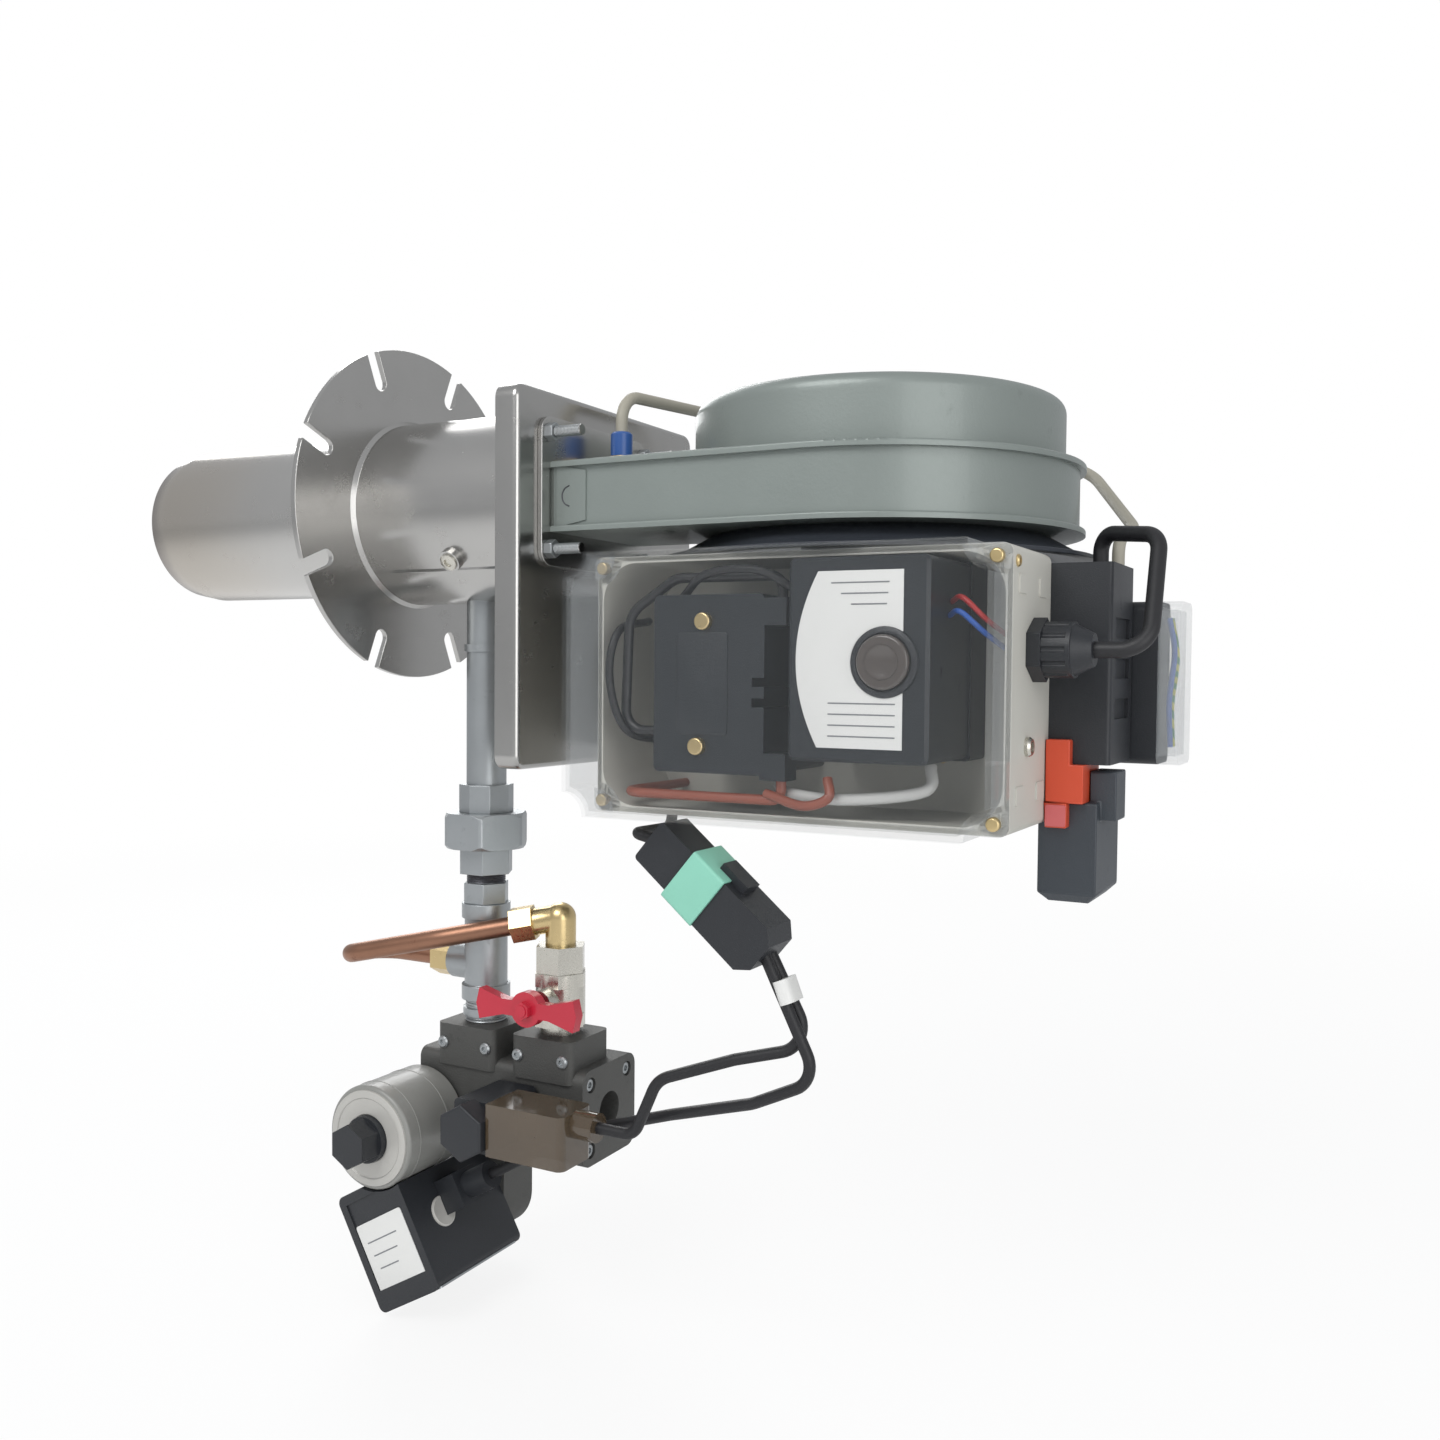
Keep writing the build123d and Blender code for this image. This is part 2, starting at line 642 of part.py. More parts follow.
def air_switch():
    body = block((BRACKET_X, SWITCH_X), SWITCH_Y, SWITCH_Z)
    body = fillet(body.edges().filter_by(Axis.X), 5)
    x, y, top = HOSE_END
    return body + rod((x, y, SWITCH_Z[1]), (x, y, top), HOSE_R - 0.6)


def air_switch_cover():
    low, high = (SWITCH_X, SWITCH_X + 10), (SWITCH_X, SWITCH_X + 8)
    cover = block(low, SWITCH_Y, SWITCH_Z)
    cover = fillet(cover.edges().filter_by(Axis.X), 5)
    return cover - block(high, (SWITCH_Y[0] + 4, SWITCH_Y[1] - 4), (SWITCH_Z[0] + 4, SWITCH_Z[1] - 4))


# ---- gas train ----

def post(x, top, bottom, radius):
    return ring((x, 0, bottom), (x, 0, top), radius, PIPE_BORE)


def nut_post(x, top, bottom, flats, sides=6):
    bar = prism((x, 0, bottom), (x, 0, top), flats, sides)
    return bar - rod((x, 0, bottom), (x, 0, top), PIPE_BORE)


def union_nut():
    nut = nut_post(COLUMN1_X, NUT_TOP, NUT_BOTTOM, UNION_NUT_FLATS)
    crown = Pos(COLUMN1_X, 0, (NUT_TOP + NUT_BOTTOM) / 2) * Cylinder(UNION_NUT_FLATS * 0.565, NUT_TOP - NUT_BOTTOM)
    return nut & chamfer(crown.edges(), 2)


def pipe_nipples():
    first = post(COLUMN1_X, UNION_BOTTOM, NIPPLE_TOP, PIPE_R - 0.6) + nut_post(COLUMN1_X, NIPPLE_TOP, TEE_TOP, 22)
    second = post(COLUMN1_X, TEE_BOTTOM, BLOCK_TOP, PIPE_R)
    return first, second


BRANCH_END = COLUMN1_X - 20
TEE_R = 11.5


def gas_tee():
    x = COLUMN1_X
    tee = rod((x, 0, TEE_TOP), (x, 0, TEE_BOTTOM), TEE_R)
    for z in (TEE_TOP, TEE_BOTTOM + 8):
        tee += rod((x, 0, z), (x, 0, z - 8), TEE_R + 1.5)
    tee += rod((BRANCH_END, 0, BRANCH_Z), (x, 0, BRANCH_Z), TEE_R - 1.5)
    tee -= rod((x, 0, TEE_TOP), (x, 0, TEE_BOTTOM), PIPE_BORE)
    return tee - rod((BRANCH_END, 0, BRANCH_Z), (x, 0, BRANCH_Z), COPPER_R)


ELBOW = Vector(COLUMN2_X, 0, ELBOW_Z)
ARM = Vector(-38, -17, -8).normalized()
ARM_LENGTH = 14.0
NUT_LENGTH = 12.0


def bypass_fittings():
    """Elbow on the second column and a compression nut at each end of the copper tube."""
    arm_end = ELBOW + ARM * ARM_LENGTH
    elbow = rod(ELBOW, (COLUMN2_X, 0, VALVE_TOP + 14), 8) + Pos(*ELBOW) * Sphere(8) + rod(ELBOW, arm_end, 7)
    nut = prism(arm_end, arm_end + ARM * NUT_LENGTH, 17) - rod(arm_end, arm_end + ARM * NUT_LENGTH, COPPER_R)
    tee_nut = prism((BRANCH_END, 0, BRANCH_Z), (BRANCH_END - NUT_LENGTH, 0, BRANCH_Z), 17)
    tee_nut -= rod((BRANCH_END, 0, BRANCH_Z), (BRANCH_END - NUT_LENGTH, 0, BRANCH_Z), COPPER_R)
    return elbow, nut, tee_nut


def copper_bypass():
    start = ELBOW + ARM * ARM_LENGTH
    turn = ELBOW + ARM * 65
    points = [start, turn, Vector(-22, -36, -241), Vector(-22, 0, BRANCH_Z), Vector(BRANCH_END, 0, BRANCH_Z)]
    return lead(points, [45, 16, 16], COPPER_R)


def valve_block():
    """Cast double valve: body, two outlet bosses, safety valve lobe and the threaded inlet flange."""
    body = block(BLOCK_X, BLOCK_Y, BLOCK_Z)
    body = fillet(body.edges().filter_by(Axis.X), 5)
    for x in (COLUMN1_X, COLUMN2_X):
        body += fillet(block((x - 19, x + 19), (-18, 18), (BLOCK_Z[1] - 6, BLOCK_TOP)).edges().filter_by(Axis.Z), 4)
    y, z = INLET_YZ
    flange = block((BLOCK_X[1], INLET_FACE), (y - 25, y + 25), (z - 25, z + 25))
    body += fillet(flange.edges().filter_by(Axis.X), 7)
    cx, cz = COIL_BOX
    lobe_front = COIL_BOX_FRONT + COIL_BOX_SIZE[1]
    body += rod((cx, lobe_front, cz), (cx, BLOCK_Y[1], cz), 22)
    body += block((BLOCK_X[0], cx + 22), (lobe_front, BLOCK_Y[1]), (cz, BLOCK_Z[0] + 5))
    body -= rod((INLET_FACE - 18, y, z), (INLET_FACE, y, z), INLET_THREAD_R)
    for x in (COLUMN1_X, COLUMN2_X):
        body -= rod((x, 0, BLOCK_TOP), (x, 0, BLOCK_Z[1] - 8), PIPE_BORE)
    for dy in (-17, 17):
        for dz in (-17, 17):
            body -= rod((INLET_FACE - 3, y + dy, z + dz), (INLET_FACE, y + dy, z + dz), 4)
    return body


def main_coil():
    x, z = MAIN_COIL
    coil = rod((x, COIL_FRONT, z), (x, COIL_BACK, z), MAIN_COIL_R)
    coil = fillet(coil.edges().group_by(Axis.Y)[0], 2)
    coil += rod((x, COIL_BACK, z), (x, BLOCK_Y[0], z), 14)
    return coil - rod((x, COIL_FRONT + 8, z), (x, BLOCK_Y[0], z), MAIN_PLUNGER_R)


def pilot_coil():
    x, z = PILOT_COIL
    coil = block((x - PILOT_HALF, x + PILOT_HALF), (PILOT_FRONT, COIL_BACK), (z - PILOT_HALF, z + PILOT_HALF))
    coil = fillet(coil.edges().filter_by(Axis.Y), 3)
    coil += rod((x, COIL_BACK, z), (x, BLOCK_Y[0], z), 9)
    return coil - rod((x, PILOT_FRONT + 5, z), (x, BLOCK_Y[0], z), PILOT_PLUNGER_R)


def coil_caps():
    x, z = MAIN_COIL
    first = rod((x, COIL_FRONT, z), (x, COIL_FRONT - 4, z), 12)
    first += prism((x, COIL_FRONT - 4, z), (x, COIL_FRONT - 16, z), 20)
    x, z = PILOT_COIL
    second = prism((x, PILOT_FRONT, z), (x, PILOT_FRONT - 12, z), 25)
    return first, fillet(second.edges().group_by(Axis.Y)[0], 1.5)


def plunger(place, front, radius, gap):
    """Core that the coil draws towards -Y; it rests just short of the body's face."""
    x, z = place
    return rod((x, front + PLUNGER_TRAVEL + gap, z), (x, BLOCK_Y[0] - 0.5, z), radius - RUN_GAP)


def din_connector():
    body = block((PILOT_COIL[0] + PILOT_HALF, DIN_X), DIN_Y, DIN_Z)
    body = fillet(body.edges().filter_by(Axis.Z).group_by(Axis.X)[-1], 4)
    y, z = DIN_GLAND
    return body + rod((DIN_X, y, z), (DIN_X + 12, y, z), 7)


def tilted(e, y, d):
    """Point in the tilted coil box: e across, d down its long side."""
    t = radians(COIL_BOX_TILT)
    cx, cz = COIL_BOX
    return (cx + e * cos(t) + d * sin(t), y, cz + e * sin(t) - d * cos(t))


def coil_box():
    w, depth, h = COIL_BOX_SIZE
    body = Box(w, depth, h)
    body = fillet(body.edges().filter_by(Axis.Y), 4)
    body -= Pos(0, -depth / 2, 3) * Box(w - 9, 1.6, h - 16)
    cx, cz = COIL_BOX
    body = Pos(cx, COIL_BOX_FRONT + depth / 2, cz) * (Rot(0, -COIL_BOX_TILT, 0) * body)
    x, z = MAIN_COIL
    body -= rod((x, COIL_BOX_FRONT - 1, z), (x, COIL_BOX_FRONT + depth + 1, z), MAIN_COIL_R + NOTCH_GAP)
    back = COIL_BOX_FRONT + depth
    return body - rod((cx, COIL_BOX_FRONT + 20, cz), (cx, back, cz), MAIN_PLUNGER_R)


COIL_GLAND_D = -8.0
COIL_GLAND_Y = -27.0
COIL_GLAND_TIP = 30.0


def coil_gland():
    side = COIL_BOX_SIZE[0] / 2
    y = COIL_GLAND_Y
    foot = Rot(0, -COIL_BOX_TILT, 0) * (Pos(side + 7, 0, -COIL_GLAND_D) * Box(14, 20, 18))
    foot = Pos(COIL_BOX[0], y, COIL_BOX[1]) * foot
    return foot + rod(tilted(side + 13, y, COIL_GLAND_D), tilted(side + COIL_GLAND_TIP, y, COIL_GLAND_D), 7)


def ball_valve_body():
    x = COLUMN2_X
    centre = (VALVE_TOP + VALVE_BOTTOM) / 2
    body = rod((x, 0, VALVE_BOTTOM), (x, 0, VALVE_TOP), 13)
    for z in (VALVE_BOTTOM, VALVE_TOP - 7):
        body += prism((x, 0, z), (x, 0, z + 7), 25)
    body += prism((x, 0, VALVE_TOP), (x, 0, VALVE_TOP + 14), 24)
    body += rod((x, 0, BLOCK_TOP), (x, 0, VALVE_BOTTOM), PIPE_R)
    body += rod((x, 0, centre), (x, -19, centre), 7)
    body -= rod((x, 0, BLOCK_TOP), (x, 0, VALVE_TOP + 12), 6)
    body -= Pos(x, 0, centre) * Sphere(BALL_R + RUN_GAP)
    return body - rod((x, 0, centre), (x, -20, centre), STEM_R + RUN_GAP)


def ball_valve_handle():
    """Butterfly handle, its stem with the ball, and the nut that holds it."""
    x = COLUMN2_X
    z = (VALVE_TOP + VALVE_BOTTOM) / 2
    front, back = HANDLE_Y
    stem = rod((x, 0, z), (x, front - 4, z), STEM_R) + Pos(x, 0, z) * Sphere(BALL_R)
    stem -= rod((x - 20, 0, z), (x + 20, 0, z), 5)
    plane = Plane(origin=(x, back, z), x_dir=(1, 0, 0), z_dir=(0, -1, 0))
    hub = Circle(9)
    for side in (-1, 1):
        wing = Polyline((0, -4), (side * 14, -4), (side * (HANDLE_HALF - 2), -8), (side * HANDLE_HALF, 0),
                        (side * (HANDLE_HALF - 2), 8), (side * 14, 4), (0, 4), close=True)
        hub += make_face(wing)
    handle = extrude(plane * hub, back - front) - rod((x, back, z), (x, front, z), STEM_R)
    nut = prism((x, front, z), (x, front - 3.5, z), 8) - rod((x, front, z), (x, front - 3.5, z), STEM_R)
    return handle, stem, nut


def inline_point(u, y=0.0, v=0.0):
    """Point of the inline connector: u along it, v across."""
    t = radians(INLINE_TILT)
    x0, y0, z0 = INLINE
    return (x0 + u * cos(t) + v * sin(t), y0 + y, z0 - u * sin(t) + v * cos(t))


def inline_connector():
    turn = Pos(*INLINE) * Rot(0, INLINE_TILT, 0)
    socket = Pos(-INLINE_HALF / 2, 0, 0) * Box(INLINE_HALF, 22, 23)
    socket = fillet(socket.edges().filter_by(Axis.Y), 2)
    plug = Pos(INLINE_HALF / 2, 0, 0) * Box(INLINE_HALF, 24, 26)
    plug = chamfer(plug.edges().filter_by(Axis.Y).group_by(Axis.X)[-1], 6)
    plug += Pos(4, 0, 15) * Box(16, 12, 4)
    return turn * socket, turn * plug


def valve_cables():
    r = VALVE_CABLE_R
    x1, z1 = DIN_GLAND
    end = INLINE_HALF - 4
    first = lead([inline_point(end, 3), (263, -37, -250), (226, -42, -260), (188, -46, -274),
                  (176, x1, z1), (DIN_X + 8, x1, z1)], [12, 20, 14, 8], r)
    side = COIL_BOX_SIZE[0] / 2
    second = lead([inline_point(end, -3), (268, -43, -263), (235, -41, -279), (188, -34, -294),
                   tilted(side + 95, COIL_GLAND_Y, COIL_GLAND_D),
                   tilted(side + COIL_GLAND_TIP - 6, COIL_GLAND_Y, COIL_GLAND_D)], [12, 30, 30, 30], r)
    third = lead([inline_point(4 - INLINE_HALF), (170, -38, -161), (168, 0, -162), (168, 0, BOX_Z[0])],
                 [5, 6], r)
    return first, second, third


def build():
    save("flame_tube", flame_tube())
    save("mounting_flange", mounting_flange())
    save("mixing_housing", mixing_housing())
    save("diffuser_disc", diffuser_disc())
    save("gas_nozzle", gas_nozzle())
    sparks = [piece for y, z in ELECTRODES for piece in electrode(y, z, 85, 0.35)]
    save("ignition_electrodes", *sparks)
    save("ionisation_probe", *electrode(*PROBE, 125, 0.7))
    save("gas_inlet_pipe", gas_inlet_pipe())
    save("mounting_pan", mounting_pan())
    save("outlet_flange", outlet_flange())
    save("outlet_nuts", *outlet_nuts())
    save("blower_volute", blower_volute())
    save("blower_lid", blower_lid())
    save("inlet_drum", inlet_drum())
    save("inlet_cover", inlet_cover())
    save("impeller", impeller())
    save("motor_shaft", motor_shaft())
    save("motor_dish", motor_dish())
    save("motor_housing", motor_housing())
    save("air_fitting", air_fitting())
    save("air_collar", air_collar())
    save("air_hose", air_hose())
    save("box_bracket", box_bracket())
    save("box_base", box_base())
    save("box_lid", box_lid())
    save("box_screws", *box_screws())
    save("ignition_transformer", ignition_transformer())
    save("burner_control", burner_control())
    save("control_base", control_base())
    save("reset_button", reset_button())
    save("hv_leads", *hv_leads())
    save("gland_body", gland_body())
    save("gland_nut", gland_nut())
    save("blower_cable", blower_cable())
    save("terminal_socket", terminal_socket())
    save("lock_pieces", *lock_pieces())
    save("grey_plug", grey_plug())
    save("air_switch", air_switch())
    save("air_switch_cover", air_switch_cover())
    save("union_upper", nut_post(COLUMN1_X, UNION_TOP, NUT_TOP, UNION_FLATS, 8))
    save("union_nut", union_nut())
    save("union_lower", nut_post(COLUMN1_X, NUT_BOTTOM, UNION_BOTTOM, UNION_FLATS - 1))
    save("pipe_nipples", *pipe_nipples())
    save("gas_tee", gas_tee())
    save("bypass_fittings", *bypass_fittings())
    save("copper_bypass", copper_bypass())
    save("valve_block", valve_block())
    save("main_coil", main_coil())
    save("pilot_coil", pilot_coil())
    save("coil_caps", *coil_caps())
    save("main_plunger", plunger(MAIN_COIL, COIL_FRONT + 8, MAIN_PLUNGER_R, 1))
    save("pilot_plunger", plunger(PILOT_COIL, PILOT_FRONT + 5, PILOT_PLUNGER_R, 1))
    save("din_connector", din_connector())
    save("coil_box", coil_box())
    save("coil_gland", coil_gland())
    safety_front = COIL_BOX_FRONT + 20 + PLUNGER_TRAVEL + 1
    safety_back = COIL_BOX_FRONT + COIL_BOX_SIZE[1] - 0.5
    cx, cz = COIL_BOX
    save("safety_plunger", rod((cx, safety_front, cz), (cx, safety_back, cz), MAIN_PLUNGER_R - RUN_GAP))
    save("ball_valve_body", ball_valve_body())
    save("ball_valve_handle", *ball_valve_handle())
    save("inline_connector", *inline_connector())
    save("valve_cables", *valve_cables())


build()
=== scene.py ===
# %% [markdown]
# # A gas burner with its blower, control box and gas train
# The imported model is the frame: every CAD node already sits in its real place, in metres.
# This script gives each node rounded edges and a finish, and adds the small pieces that a
# CAD model leaves plain, such as labels, wires, tape, threads and screws.

# %% Frame
import json
from math import cos, pi, radians, sin

import bpy
import numpy as np
from mathutils import Euler, Matrix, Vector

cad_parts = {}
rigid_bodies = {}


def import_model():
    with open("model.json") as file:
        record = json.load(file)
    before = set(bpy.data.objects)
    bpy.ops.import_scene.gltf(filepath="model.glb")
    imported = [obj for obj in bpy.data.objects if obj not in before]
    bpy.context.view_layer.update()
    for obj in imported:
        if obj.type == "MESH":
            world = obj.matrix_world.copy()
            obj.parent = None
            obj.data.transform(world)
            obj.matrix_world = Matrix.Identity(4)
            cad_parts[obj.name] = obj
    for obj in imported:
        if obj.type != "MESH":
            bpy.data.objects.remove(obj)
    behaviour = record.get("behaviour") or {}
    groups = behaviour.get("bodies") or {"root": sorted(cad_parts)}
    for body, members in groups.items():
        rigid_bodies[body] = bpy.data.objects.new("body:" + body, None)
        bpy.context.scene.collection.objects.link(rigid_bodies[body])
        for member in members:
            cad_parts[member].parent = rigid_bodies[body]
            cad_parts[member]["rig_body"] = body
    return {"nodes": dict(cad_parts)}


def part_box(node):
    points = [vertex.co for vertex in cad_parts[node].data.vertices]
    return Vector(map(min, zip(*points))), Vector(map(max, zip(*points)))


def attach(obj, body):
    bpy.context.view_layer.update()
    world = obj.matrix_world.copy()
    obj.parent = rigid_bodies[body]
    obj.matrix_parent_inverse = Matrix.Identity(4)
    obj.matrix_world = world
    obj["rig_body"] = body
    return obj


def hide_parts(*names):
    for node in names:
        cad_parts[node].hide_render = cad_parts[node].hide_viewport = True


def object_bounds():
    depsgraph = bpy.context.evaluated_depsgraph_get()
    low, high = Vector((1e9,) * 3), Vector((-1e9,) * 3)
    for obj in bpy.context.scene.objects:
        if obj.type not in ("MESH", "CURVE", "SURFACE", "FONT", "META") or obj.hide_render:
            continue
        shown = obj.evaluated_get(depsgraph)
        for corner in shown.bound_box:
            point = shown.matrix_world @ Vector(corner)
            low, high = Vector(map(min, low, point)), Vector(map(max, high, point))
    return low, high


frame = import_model()
cad_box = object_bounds()
MM = 0.001
print("nodes", len(frame["nodes"]))

# %% [markdown]
# ## Shader maths as Python
# A finish is a small tree of nodes. Wrapping a socket in a class lets us write the maths as
# ordinary expressions: `1 - mask` adds a Math node. Colours go through Mix nodes, because a
# Math node would turn them grey.

# %% Shader class
class Value:
    """A socket that can be used in arithmetic."""

    def __init__(self, finish, socket):
        self.finish, self.socket = finish, socket

    def _math(self, operation, a, b):
        return self.finish.node("ShaderNodeMath", {"operation": operation}, {0: a, 1: b})

    def __add__(self, other):
        return self._math("ADD", self, other)

    def __sub__(self, other):
        return self._math("SUBTRACT", self, other)

    def __mul__(self, other):
        return self._math("MULTIPLY", self, other)

    def __rsub__(self, other):
        return self._math("SUBTRACT", other, self)

    __radd__, __rmul__ = __add__, __mul__


class Finish:
    """A material under construction, with its Principled shader."""

    def __init__(self, name):
        self.material = bpy.data.materials.new(name)
        self.material.use_nodes = True
        self.tree = self.material.node_tree
        self.shader = self.tree.nodes["Principled BSDF"]
        place = self.tree.nodes.new("ShaderNodeTexCoord")
        self.place = Value(self, place.outputs["Object"])

    def node(self, kind, settings=None, inputs=None, output=0):
        """Adds any node: its settings first, then values or links into its sockets."""
        node = self.tree.nodes.new(kind)
        for key, value in (settings or {}).items():
            setattr(node, key, value)
        for key, value in (inputs or {}).items():
            self.feed(node.inputs[key], value)
        return Value(self, node.outputs[output])

    def feed(self, socket, value):
        if isinstance(value, Value):
            self.tree.links.new(value.socket, socket)
        else:
            socket.default_value = value

    def set(self, **values):
        for key, value in values.items():
            self.feed(self.shader.inputs[key.replace("_", " ")], value)

    def noise(self, scale, detail=3.0, stretch=(1, 1, 1), rough=0.5):
        """Noise from 0 to 1 on the piece's own coordinates, drawn out by stretch."""
        point = self.node("ShaderNodeMapping", None, {"Vector": self.place, "Scale": stretch})
        return self.node("ShaderNodeTexNoise", None,
                         {"Vector": point, "Scale": scale, "Detail": detail, "Roughness": rough})

    def steps(self, value, low, high):
        """0 below low, 1 above high, smooth between."""
        return self.node("ShaderNodeMapRange", {"interpolation_type": "SMOOTHSTEP"},
                         {0: value, 1: low, 2: high, 3: 0.0, 4: 1.0})

    def mix(self, mask, first, second):
        """first where mask is 0, second where it is 1."""
        node = self.tree.nodes.new("ShaderNodeMix")
        node.data_type = "RGBA"
        self.feed(node.inputs[0], mask)
        self.feed(node.inputs[6], first)
        self.feed(node.inputs[7], second)
        return Value(self, node.outputs[2])

    def bump(self, height, strength, distance):
        return self.node("ShaderNodeBump", None,
                         {"Height": height, "Strength": strength, "Distance": distance})

    def axis(self, letter):
        split = self.node("ShaderNodeSeparateXYZ", None, {0: self.place}, "XYZ".index(letter))
        return split


def shade(color, factor):
    return (*(min(1.0, c * factor) for c in color[:3]), 1.0)

# %% [markdown]
# ## The finishes
# Most surfaces share one recipe at different scales: a slow mottle in the colour, a finer
# grain in the roughness and the bump, and sparse marks of handling. Brushed metal stretches
# the grain along one axis, cast metal uses a coarse grain, and moulded plastic a fine one.

# %% Finish recipe
def surface(name, color, rough, metal=0.0, mottle=0.10, grain=900.0, depth=0.12, marks=0.12,
            stretch=(1, 1, 1), coat=0.0, alpha=1.0, mark_color=None, spread=0.12):
    """Mottle changes the colour, grain changes roughness and height, marks are rare smudges."""
    f = Finish(name)
    slow = f.noise(28.0, 4.0)
    fine = f.noise(grain, 2.0, stretch)
    smudge = f.steps(f.noise(75.0, 6.0, rough=0.7), 0.60, 0.74)
    base = f.mix(slow, shade(color, 1 - mottle), shade(color, 1 + mottle))
    base = f.mix(smudge * marks, base, mark_color or shade(color, 0.55))
    f.set(Base_Color=base, Metallic=metal, Coat_Weight=coat, Alpha=alpha)
    f.set(Roughness=fine * spread + slow * (spread * 0.7) + smudge * (marks * 0.8) + (rough - spread * 0.85))
    f.set(Normal=f.bump(fine, depth, 0.0004))
    return f


FINISH = {}


def keep(name, finish):
    FINISH[name] = finish.material
    return finish


RECIPES = {
    "zinc": dict(color=(0.39, 0.41, 0.42), rough=0.38, metal=0.85, mottle=0.16, grain=420.0, depth=0.10,
                 marks=0.35, mark_color=(0.20, 0.21, 0.22, 1)),
    "dark_steel": dict(color=(0.09, 0.09, 0.10), rough=0.42, metal=0.8, mottle=0.2, grain=500.0),
    "nickel": dict(color=(0.62, 0.60, 0.54), rough=0.28, metal=1.0, mottle=0.10, grain=600.0, depth=0.08,
                   marks=0.2),
    "brass": dict(color=(0.67, 0.52, 0.27), rough=0.30, metal=1.0, mottle=0.14, grain=500.0, depth=0.08,
                  marks=0.3, mark_color=(0.28, 0.19, 0.09, 1)),
    "copper": dict(color=(0.33, 0.175, 0.115), rough=0.40, metal=1.0, mottle=0.22, grain=300.0,
                   depth=0.08, marks=0.5, mark_color=(0.13, 0.06, 0.04, 1)),
    "blower_paint": dict(color=(0.225, 0.255, 0.24), rough=0.40, metal=0.25, mottle=0.07, grain=700.0,
                         depth=0.16, marks=0.2, coat=0.15),
    "dark_paint": dict(color=(0.035, 0.04, 0.05), rough=0.42, metal=0.0, mottle=0.15, grain=500.0,
                       depth=0.16, marks=0.15),
    "ceramic": dict(color=(0.82, 0.80, 0.74), rough=0.18, metal=0.0, mottle=0.04, grain=400.0,
                    depth=0.04, marks=0.1, coat=0.6),
    "wheel": dict(color=(0.55, 0.57, 0.58), rough=0.36, metal=1.0, mottle=0.1, grain=500.0),
    "cast": dict(color=(0.105, 0.105, 0.10), rough=0.56, metal=0.55, mottle=0.18, grain=1300.0,
                 depth=0.45, marks=0.35, mark_color=(0.07, 0.07, 0.07, 1)),
    "grey_plastic": dict(color=(0.56, 0.55, 0.50), rough=0.50, metal=0.0, mottle=0.04, grain=1500.0,
                         depth=0.16, marks=0.10, mark_color=(0.36, 0.34, 0.30, 1)),
    "black_plastic": dict(color=(0.018, 0.020, 0.024), rough=0.44, metal=0.0, mottle=0.18, grain=1500.0,
                          depth=0.20, marks=0.25, mark_color=(0.05, 0.05, 0.055, 1)),
    "transformer_plastic": dict(color=(0.014, 0.017, 0.021), rough=0.34, metal=0.0, mottle=0.15,
                                grain=900.0, depth=0.18, marks=0.3, mark_color=(0.035, 0.04, 0.045, 1)),
    "slate_plastic": dict(color=(0.040, 0.048, 0.058), rough=0.46, metal=0.0, mottle=0.10, grain=1500.0,
                          depth=0.18, marks=0.15),
    "blue_plastic": dict(color=(0.03, 0.10, 0.33), rough=0.30, metal=0.0, mottle=0.08, grain=900.0,
                         depth=0.08),
    "red_plastic": dict(color=(0.62, 0.075, 0.03), rough=0.36, metal=0.0, mottle=0.06, grain=1200.0,
                        depth=0.10),
    "pink_plastic": dict(color=(0.60, 0.13, 0.13), rough=0.40, metal=0.0, mottle=0.06, grain=1200.0,
                         depth=0.10),
    "red_handle": dict(color=(0.50, 0.012, 0.035), rough=0.36, metal=0.0, mottle=0.10, grain=700.0,
                       depth=0.14, marks=0.15, coat=0.3),
    "coil": dict(color=(0.25, 0.25, 0.235), rough=0.36, metal=0.0, mottle=0.10, grain=900.0, depth=0.14,
                 marks=0.15, coat=0.2),
    "end_disc": dict(color=(0.50, 0.49, 0.46), rough=0.40, metal=0.2, mottle=0.06, grain=900.0,
                     depth=0.12, marks=0.15),
    "hose": dict(color=(0.36, 0.34, 0.28), rough=0.52, metal=0.0, mottle=0.06, grain=700.0, depth=0.10),
    "rubber": dict(color=(0.012, 0.012, 0.014), rough=0.48, metal=0.0, mottle=0.15, grain=900.0,
                   depth=0.18, marks=0.2, mark_color=(0.05, 0.05, 0.05, 1)),
    "silicone": dict(color=(0.27, 0.075, 0.045), rough=0.36, metal=0.0, mottle=0.10, grain=800.0,
                     depth=0.10),
    "label_white": dict(color=(0.72, 0.72, 0.70), rough=0.42, metal=0.0, mottle=0.03, grain=1200.0,
                        depth=0.05, marks=0.12, mark_color=(0.5, 0.48, 0.44, 1)),
    "label_grey": dict(color=(0.20, 0.21, 0.22), rough=0.45, metal=0.0, mottle=0.05, grain=1200.0,
                       depth=0.05),
    "wire_blue": dict(color=(0.02, 0.10, 0.42), rough=0.35, metal=0.0, mottle=0.08, grain=900.0,
                      depth=0.06),
    "wire_red": dict(color=(0.45, 0.02, 0.02), rough=0.35, metal=0.0, mottle=0.08, grain=900.0,
                     depth=0.06),
    "wire_white": dict(color=(0.55, 0.55, 0.53), rough=0.40, metal=0.0, mottle=0.05, grain=900.0,
                       depth=0.06),
    "tape_green": dict(color=(0.25, 0.58, 0.45), rough=0.40, metal=0.0, mottle=0.08, grain=500.0,
                       depth=0.18, marks=0.2),
    "button": dict(color=(0.075, 0.062, 0.055), rough=0.18, metal=0.0, mottle=0.06, grain=900.0,
                   depth=0.05, marks=0.1, coat=0.5),
    "amber_plastic": dict(color=(0.085, 0.060, 0.036), rough=0.14, metal=0.0, mottle=0.30, grain=300.0,
                          depth=0.04, marks=0.2, coat=0.7, alpha=0.88),
}
for name, recipe in RECIPES.items():
    keep(name, surface(name, **recipe))
print("finishes", len(FINISH))

